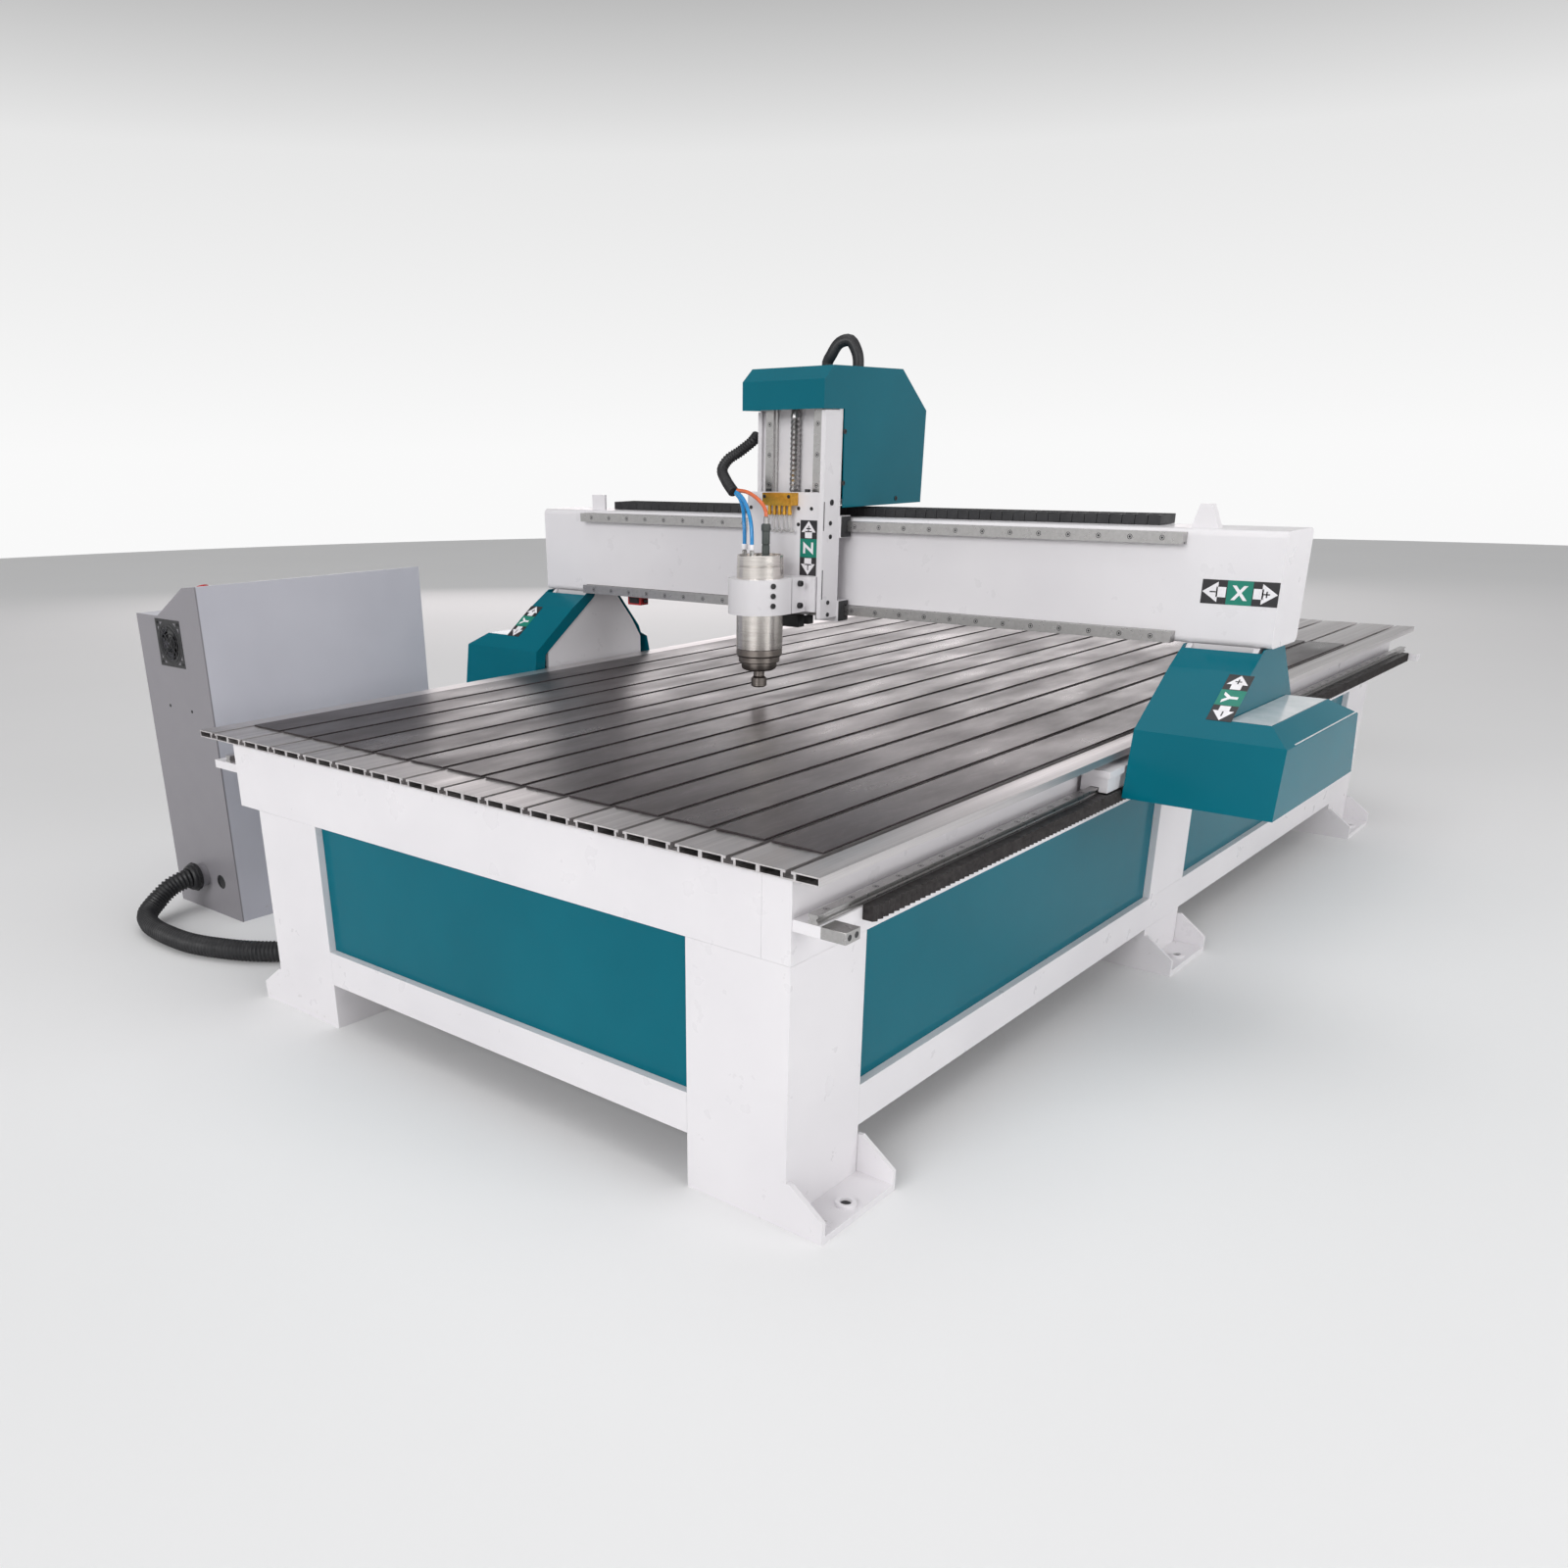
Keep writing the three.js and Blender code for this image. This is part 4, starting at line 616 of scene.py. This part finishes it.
plugs = bmesh.new()
turned(
    plugs, ((0, 0), (12, 0), (12, 1), (15.5, 1.2), (17.5, 0.2), (17.5, -0.5), (0, -0.5)),
    placed=facing((-1179, CABINET_FACE, 88), FORWARD), steps=28,
)
for side, height in ((-1292, 508), (-1195, 504)):
    cap_screw(plugs, (side, CABINET_FACE + 0.4, height), FORWARD, 3.4, 1.0)
finished("cabinet_plugs", "bed", "black_plastic", plugs, BLACK)


# ---------------------------------------------------------------- gantry
beam_bolts = bmesh.new()
for height in X_RAIL_HEIGHTS:
    row = [(-731 + RAIL_SCREW_PITCH * step, X_RAIL_FACE, height) for step in range(25)]
    rail_screws(beam_bolts, row, FORWARD, 4.8)
finished("x_rail_screws", "gantry", "ground_steel", beam_bolts, BLACK, GROUND)

CHAIN_START, CHAIN_END = -729, 670
LINK_PITCH, LINK_GAP = 25.0, 0.8
chain = bmesh.new()
for link in range(56):
    start = CHAIN_START + LINK_PITCH * link
    stop = min(start + LINK_PITCH - LINK_GAP, CHAIN_END)
    bar(chain, (start, 1192.5, 923.5), (stop, 1265.5, 941.2), edge=0.8, sunk=(5.0, 1.6))
    if link:
        bar(chain, (start - 3, 1200, 926), (start + 1, 1258, 937), edge=0.5)
finished("chain_links", "gantry", "black_plastic", chain, BLACK, stands_for=["x_cable_chain"])

# Thin film sheets on the gantry cover's top and outer side, pale as a painted reflection.
film_reflection_patches = bmesh.new()
bar(film_reflection_patches, (914, 977, 622.1), (985.5, 1286, 622.5), edge=0.1)
bar(film_reflection_patches, (1024.5, 982, 594.3), (1027.4, 1346, 595.2), edge=0.1)
finished("cover_film_painted_reflection", "gantry", "white_enamel", film_reflection_patches, FILM_PAINTED_REFLECTION)

limit_switch = bmesh.new()
bar(limit_switch, (-640, 1138, 701), (-596, 1166, 723.6), 0, 1.2)
bar(limit_switch, (-634, 1136.8, 705), (-602, 1138.2, 719), 1, 0.4)
turned(
    limit_switch, ((0, 0), (5, 0), (5, 5), (3.4, 9), (0, 9)), 1,
    facing((-595.8, 1152, 711), RIGHTWARD), steps=18,
)
for side in (-630, -606):
    cap_screw(limit_switch, (side, 1136.9, 712), FORWARD, 2.6, 1.2, 1)
finished("x_limit_switch", "gantry", "red_plastic", limit_switch, RED, BLACK)


def letter_shape(letter, height, thickness):
    """A raised letter, centred."""
    words = bpy.data.curves.new("letter_" + letter, "FONT")
    words.body = letter
    words.align_x = "CENTER"
    words.align_y = "CENTER"
    words.size = height
    words.offset = 0.035 * height  # boldens the strokes
    words.extrude = thickness
    holder = bpy.data.objects.new("letter_" + letter, words)
    SCENE.collection.objects.link(holder)
    seen = holder.evaluated_get(bpy.context.evaluated_depsgraph_get())
    mesh = bpy.data.meshes.new_from_object(seen)
    shape = bmesh.new()
    shape.from_mesh(mesh)
    bpy.data.objects.remove(holder)
    bpy.data.meshes.remove(mesh)
    for axis, across in enumerate((Vector((1, 0, 0)), Vector((0, 1, 0)))):
        reach = [vert.co[axis] for vert in shape.verts]
        middle = (min(reach) + max(reach)) / 2
        bmesh.ops.translate(shape, vec=-middle * across, verts=shape.verts)
    return shape


def direction_plate(name, letter, centre, normal, along, body, length, width):
    """A direction plate: a minus arrow, the axis letter and a plus arrow.

    The letter's field is the middle third, and each arrow is drawn in an outer third.
    """
    placed = facing(centre, normal, along)
    half, third, rim = length / 2, length / 6, width / 2
    plate = bmesh.new()
    bar(plate, (-half, -rim, 0.1), (-third, rim, 0.5), 0, 0.1, placed)
    bar(plate, (-third, -rim, 0.1), (third, rim, 0.55), 1, 0.1, placed)
    bar(plate, (third, -rim, 0.1), (half, rim, 0.5), 0, 0.1, placed)
    shaft_half, tip_half = 0.21 * width, 0.42 * width
    sign, stroke, margin = 0.13 * width, 0.028 * width, 1.5
    for side in (-1, 1):
        shaft = sorted((side * (third + margin), side * 1.84 * third))
        bar(plate, (shaft[0], -shaft_half, 0.4), (shaft[1], shaft_half, 0.7), 2, 0, placed)
        tip = sorted((side * 1.72 * third, side * (half - margin)))
        bar(plate, (tip[0], -tip_half, 0.4), (tip[1], tip_half, 0.7), 2, 0, placed, side)
        middle = side * 2.1 * third
        bar(plate, (middle - sign, -stroke, 0.6), (middle + sign, stroke, 0.85), 0, 0, placed)
        if side > 0:
            bar(plate, (middle - stroke, -sign, 0.6), (middle + stroke, sign, 0.85), 0, 0, placed)
    raised = letter_shape(letter, 0.80 * width, 0.15)
    bmesh.ops.translate(raised, vec=(0, 0, 0.65), verts=raised.verts)
    press(plate, raised, 2, placed)
    finished(name, body, "black_plastic", plate, PRINT_BLACK, PRINT_GREEN, PRINT_WHITE)


COVER_SLOPE = Vector((0, 132, 95))
COVER_OUT = Vector((0, -95, 132))
direction_plate(
    "x_direction_plate", "X", (852, BEAM_FACE, 817), FORWARD, RIGHTWARD, "gantry", 134, 42
)
direction_plate(
    "z_direction_plate", "Z", (-16, PLATE_FACE, 866), FORWARD, UPWARD, "z_slide", 112, 43
)
for side, name in ((899, "y_direction_plate"), (-893, "left_y_direction_plate")):
    slope_middle = Vector((side, 936, 595)) + COVER_SLOPE.normalized() * 100
    direction_plate(name, "Y", slope_middle, COVER_OUT, COVER_SLOPE, "gantry", 112, 43)


# ---------------------------------------------------------------- carriage and head
z_bolts = bmesh.new()
for side in Z_RAIL_SIDES:
    row = [(side, Z_RAIL_FACE, 750 + RAIL_SCREW_PITCH * step) for step in range(7)]
    rail_screws(z_bolts, row, FORWARD, 4.8)
finished("z_rail_screws", "carriage", "ground_steel", z_bolts, BLACK, GROUND)

post_bolts = bmesh.new()
for depth, height, radius in (
    (1058, 957, 6), (1055, 916, 4.6), (1056, 889, 4.6), (1054, 755, 4.6), (1054, 730, 4.6),
):
    cap_screw(post_bolts, (POST_SIDE, depth, height), RIGHTWARD, radius, 2.2)
for low, high in ((902, 959), (763, 823)):
    bar(post_bolts, (POST_SIDE - 0.3, 1030.5, low), (POST_SIDE + 0.25, 1033.5, high), edge=0.1)
for depth, height in ((1094.5, 1094), (1094.5, 994), (1303, 957)):
    for side, outward in HOOD_SIDES:
        cap_screw(post_bolts, (side, depth, height), (outward, 0, 0), 5.0, 1.8)
finished("carriage_screws", "carriage", "black_plastic", post_bolts, BLACK)

plate_bolts = bmesh.new()
for side, height in ((-43, 945), (-10, 945), (-43, 913), (-170, 915), (-170, 945), (-170, 760)):
    cap_screw(plate_bolts, (side, PLATE_FACE, height), FORWARD, 3.8, 1.6)
for side in (-28, -130):
    cap_screw(plate_bolts, (side, 1044, 977), UPWARD, 6.0, 6.0)
for level in (757, 777, 797):
    cap_screw(plate_bolts, (-20.4, 919, level), (59.6, -33, 0), 5.6, 3.0)
for level in (752, 797):
    cap_screw(plate_bolts, (-12, 999, level), RIGHTWARD, 6.2, 8.0)
finished("slide_plate_screws", "z_slide", "black_plastic", plate_bolts, BLACK)

WIPER_HALF = 21
WIPER_JAW = 10
wipers = bmesh.new()
for height in X_RAIL_HEIGHTS:
    for inner, outer in ((27.8, 31.0), (-187.0, -183.8)):
        low, high = height - WIPER_HALF, height + WIPER_HALF
        bar(wipers, (inner, 1090, low), (outer, 1109.2, high), edge=0.8)
        for jaw in (low, high - WIPER_JAW):
            bar(wipers, (inner, 1109, jaw), (outer, 1123, jaw + WIPER_JAW), edge=0.6)
finished("x_block_wipers", "carriage", "black_plastic", wipers, BLACK)

stop_bracket = bmesh.new()
bar(stop_bracket, (-104, 1062, 696), (-58, 1086, 722.6), 0, 1.0)
bar(stop_bracket, (-46, 1066, 704), (-34, 1086, 722.6), 0, 1.0)
finished("carriage_stop", "carriage", "black_plastic", stop_bracket, BLACK)

SPINDLE_PLACE = Matrix.Translation((*SPINDLE_AXIS, 0))
housing = bmesh.new()
turned(
    housing,
    ((0, 850), (43, 850), (43, 855.4), (44.5, 856), (48.2, 856), (49, 855), (49, 836),
     (48.4, 835.4), (48.4, 834), (49.9, 833.2), (49.9, 664), (49.2, 662.6)),
    0, SPINDLE_PLACE, 64,
)
turned(
    housing,
    ((49.2, 662.6), (49.2, 650), (47.6, 647), (44.6, 646), (44.6, 636), (43.2, 634.4),
     (38.4, 633.4), (38.4, 626), (36.4, 620), (31, 617.2), (17, 617.2), (16.5, 619), (0, 619)),
    1, SPINDLE_PLACE, 64,
)
bmesh.ops.remove_doubles(housing, verts=housing.verts, dist=1e-3)
for turn in range(6):
    around = Matrix.Rotation(math.tau * turn / 6, 4, "Z")
    cap_screw(housing, SPINDLE_PLACE @ around @ Vector((46, 0, 855.8)), UPWARD, 2.2, 0.1, 2)
finished(
    "spindle_housing", "z_slide", "ground_steel", housing, BRUSHED, NOSE, BLACK,
    stands_for=["spindle_body"],
)

PLUG_PLACE = Matrix.Translation((-66, 952, 0))
PLUG_GRIPS = 10
fittings = bmesh.new()
for side, depth in ((-121, 950), (-92, 938)):
    elbow = Matrix.Translation((side, depth, 0))
    turned(
        fittings,
        ((0, SPINDLE_CAP), (5.6, SPINDLE_CAP), (5.6, 862), (4, 863), (4, 866), (0, 866)),
        1, elbow, 6,
    )
    turned(
        fittings, ((0, 865), (6, 865), (6.4, 866), (6.4, 874), (5.4, 876), (0, 876)),
        0, elbow, 20,
    )
turned(
    fittings,
    ((0, SPINDLE_CAP), (9, SPINDLE_CAP), (9, 855), (7.4, 857), (8.4, 859), (8.4, 874), (7.2, 876),
     (8.6, 878), (8.6, 902), (9.4, 904), (9.4, 916), (8, 918), (0, 918)),
    2, PLUG_PLACE, 24,
)
for grip in range(PLUG_GRIPS):
    bar(
        fittings, (8.6, -0.9, 904.5), (10, 0.9, 915.5), 2, 0.3,
        PLUG_PLACE @ Matrix.Rotation(math.tau * grip / PLUG_GRIPS, 4, "Z"),
    )
turned(
    fittings, ((0, 918), (5.6, 918), (5.6, 930), (4.6, 932), (0, 932)), 1, PLUG_PLACE, 20
)
finished("spindle_fittings", "z_slide", "black_plastic", fittings, PRINT_WHITE, GROUND, PLUG)

tube(
    "water_tubes",
    [
        ((-121, 950, 872), (-121, 950, 892), (-125, 953, 918), (-134, 961, 944), (-150, 971, 964),
         (-170, 981, 975)),
        ((-92, 938, 872), (-93, 939, 892), (-99, 943, 918), (-114, 952, 944), (-138, 965, 965),
         (-168, 981, 978)),
    ],
    4.2, "z_slide", BLUE_TUBE,
)
tube(
    "signal_lead",
    [((-66, 952, 928), (-67, 952, 940), (-76, 956, 952), (-100, 963, 967), (-134, 974, 978),
      (-166, 982, 981))],
    4.0, "z_slide", ORANGE_TUBE,
)
OIL_PORTS = [-108 + 13 * port for port in range(5)]
ports = bmesh.new()
for side in OIL_PORTS:
    turned(
        ports, ((0, 932), (4.2, 932), (4.8, 933), (4.8, 939.5), (0, 939.5)), 0,
        Matrix.Translation((side, 1020, 0)), 18,
    )
for side in (-114, -51):
    cap_screw(ports, (side, 1009, 969), FORWARD, 3.6, 1.6, 1)
finished("oil_port_collars", "z_slide", "brass_fitting", ports, BRASS, BLACK)
tube(
    "oil_tubes",
    [
        ((side, 1020, 934), (side, 1019, 926), (side - 1 + 0.6 * number, 1018, 916),
         (side + 1.5, 1019, 905), (side + 5, 1022, 899), (side + 9, 1026, 901))
        for number, side in enumerate(OIL_PORTS)
    ],
    2.3, "z_slide", CLEAR_TUBE,
)

tube(
    "spindle_hose_ribbed",
    [((-198, 1088, 1088), (-198, 1074, 1078), (-216, 1054, 1058), (-234, 1034, 1041),
      (-237, 1018, 1022), (-212, 1000, 1000), (-178, 984, 977))],
    12.0, "z_slide", RUBBER, rings=6.0, stands_for=["spindle_hose"],
)


# ---------------------------------------------------------------- studio
def studio():
    """A pale floor and wide soft light from the front, above and both sides."""
    ground = bmesh.new()
    floor_radius = 14.0
    bmesh.ops.create_circle(ground, cap_ends=True, segments=96, radius=floor_radius)
    mesh = bpy.data.meshes.new("studio_floor")
    ground.to_mesh(mesh)
    ground.free()
    paper = Finish("studio_paper", roughness=0.85)
    paper.colour(paper.blend(paper.grain(0.8), (0.86, 0.86, 0.865), (0.83, 0.83, 0.835)))
    mesh.materials.append(paper.material)
    floor = bpy.data.objects.new("studio_floor", mesh)
    SCENE.collection.objects.link(floor)

    world = bpy.data.worlds.new("studio_air")
    world.use_nodes = True
    air = world.node_tree
    sight = air.nodes.new("ShaderNodeTexCoord")
    apart = air.nodes.new("ShaderNodeSeparateXYZ")
    fade = air.nodes.new("ShaderNodeValToRGB")
    air.links.new(sight.outputs["Generated"], apart.inputs["Vector"])
    air.links.new(apart.outputs["Z"], fade.inputs["Fac"])
    levels = ((0.0, 0.95), (0.18, 0.80), (0.36, 0.14), (0.70, 0.16), (0.92, 1.0))
    steps = fade.color_ramp.elements
    while len(steps) < len(levels):
        steps.new(0.5)
    for step, (height, level) in zip(steps, levels):
        step.position = height
        step.color = (level, level, level, 1.0)
    air.links.new(fade.outputs["Color"], air.nodes["Background"].inputs["Color"])
    SCENE.world = world

    aim = at(0, 1300, 500)
    white, warm = (1.0, 1.0, 1.0), (1.0, 0.91, 0.92)
    for name, spot, width, height, power, tint in (
        ("key", (900, -8200, 4600), 6.0, 4.0, 460.0, white),
        ("top", (0, 1200, 4600), 3.0, 4.0, 20.0, white),
        ("right", (5600, 600, 2400), 4.0, 3.0, 115.0, white),
        ("window", (-5200, 7000, 1900), 8.0, 1.8, 72.0, warm),
    ):
        lamp = bpy.data.lights.new(name + "_light", "AREA")
        lamp.shape = "RECTANGLE"
        lamp.size = width
        lamp.size_y = height
        lamp.energy = power
        lamp.color = tint
        stand = bpy.data.objects.new(name + "_light", lamp)
        stand.location = at(*spot)
        stand.rotation_euler = (aim - stand.location).to_track_quat("-Z", "Y").to_euler()
        stand.visible_camera = False
        SCENE.collection.objects.link(stand)
    SCENE.view_settings.view_transform = "Standard"


studio()
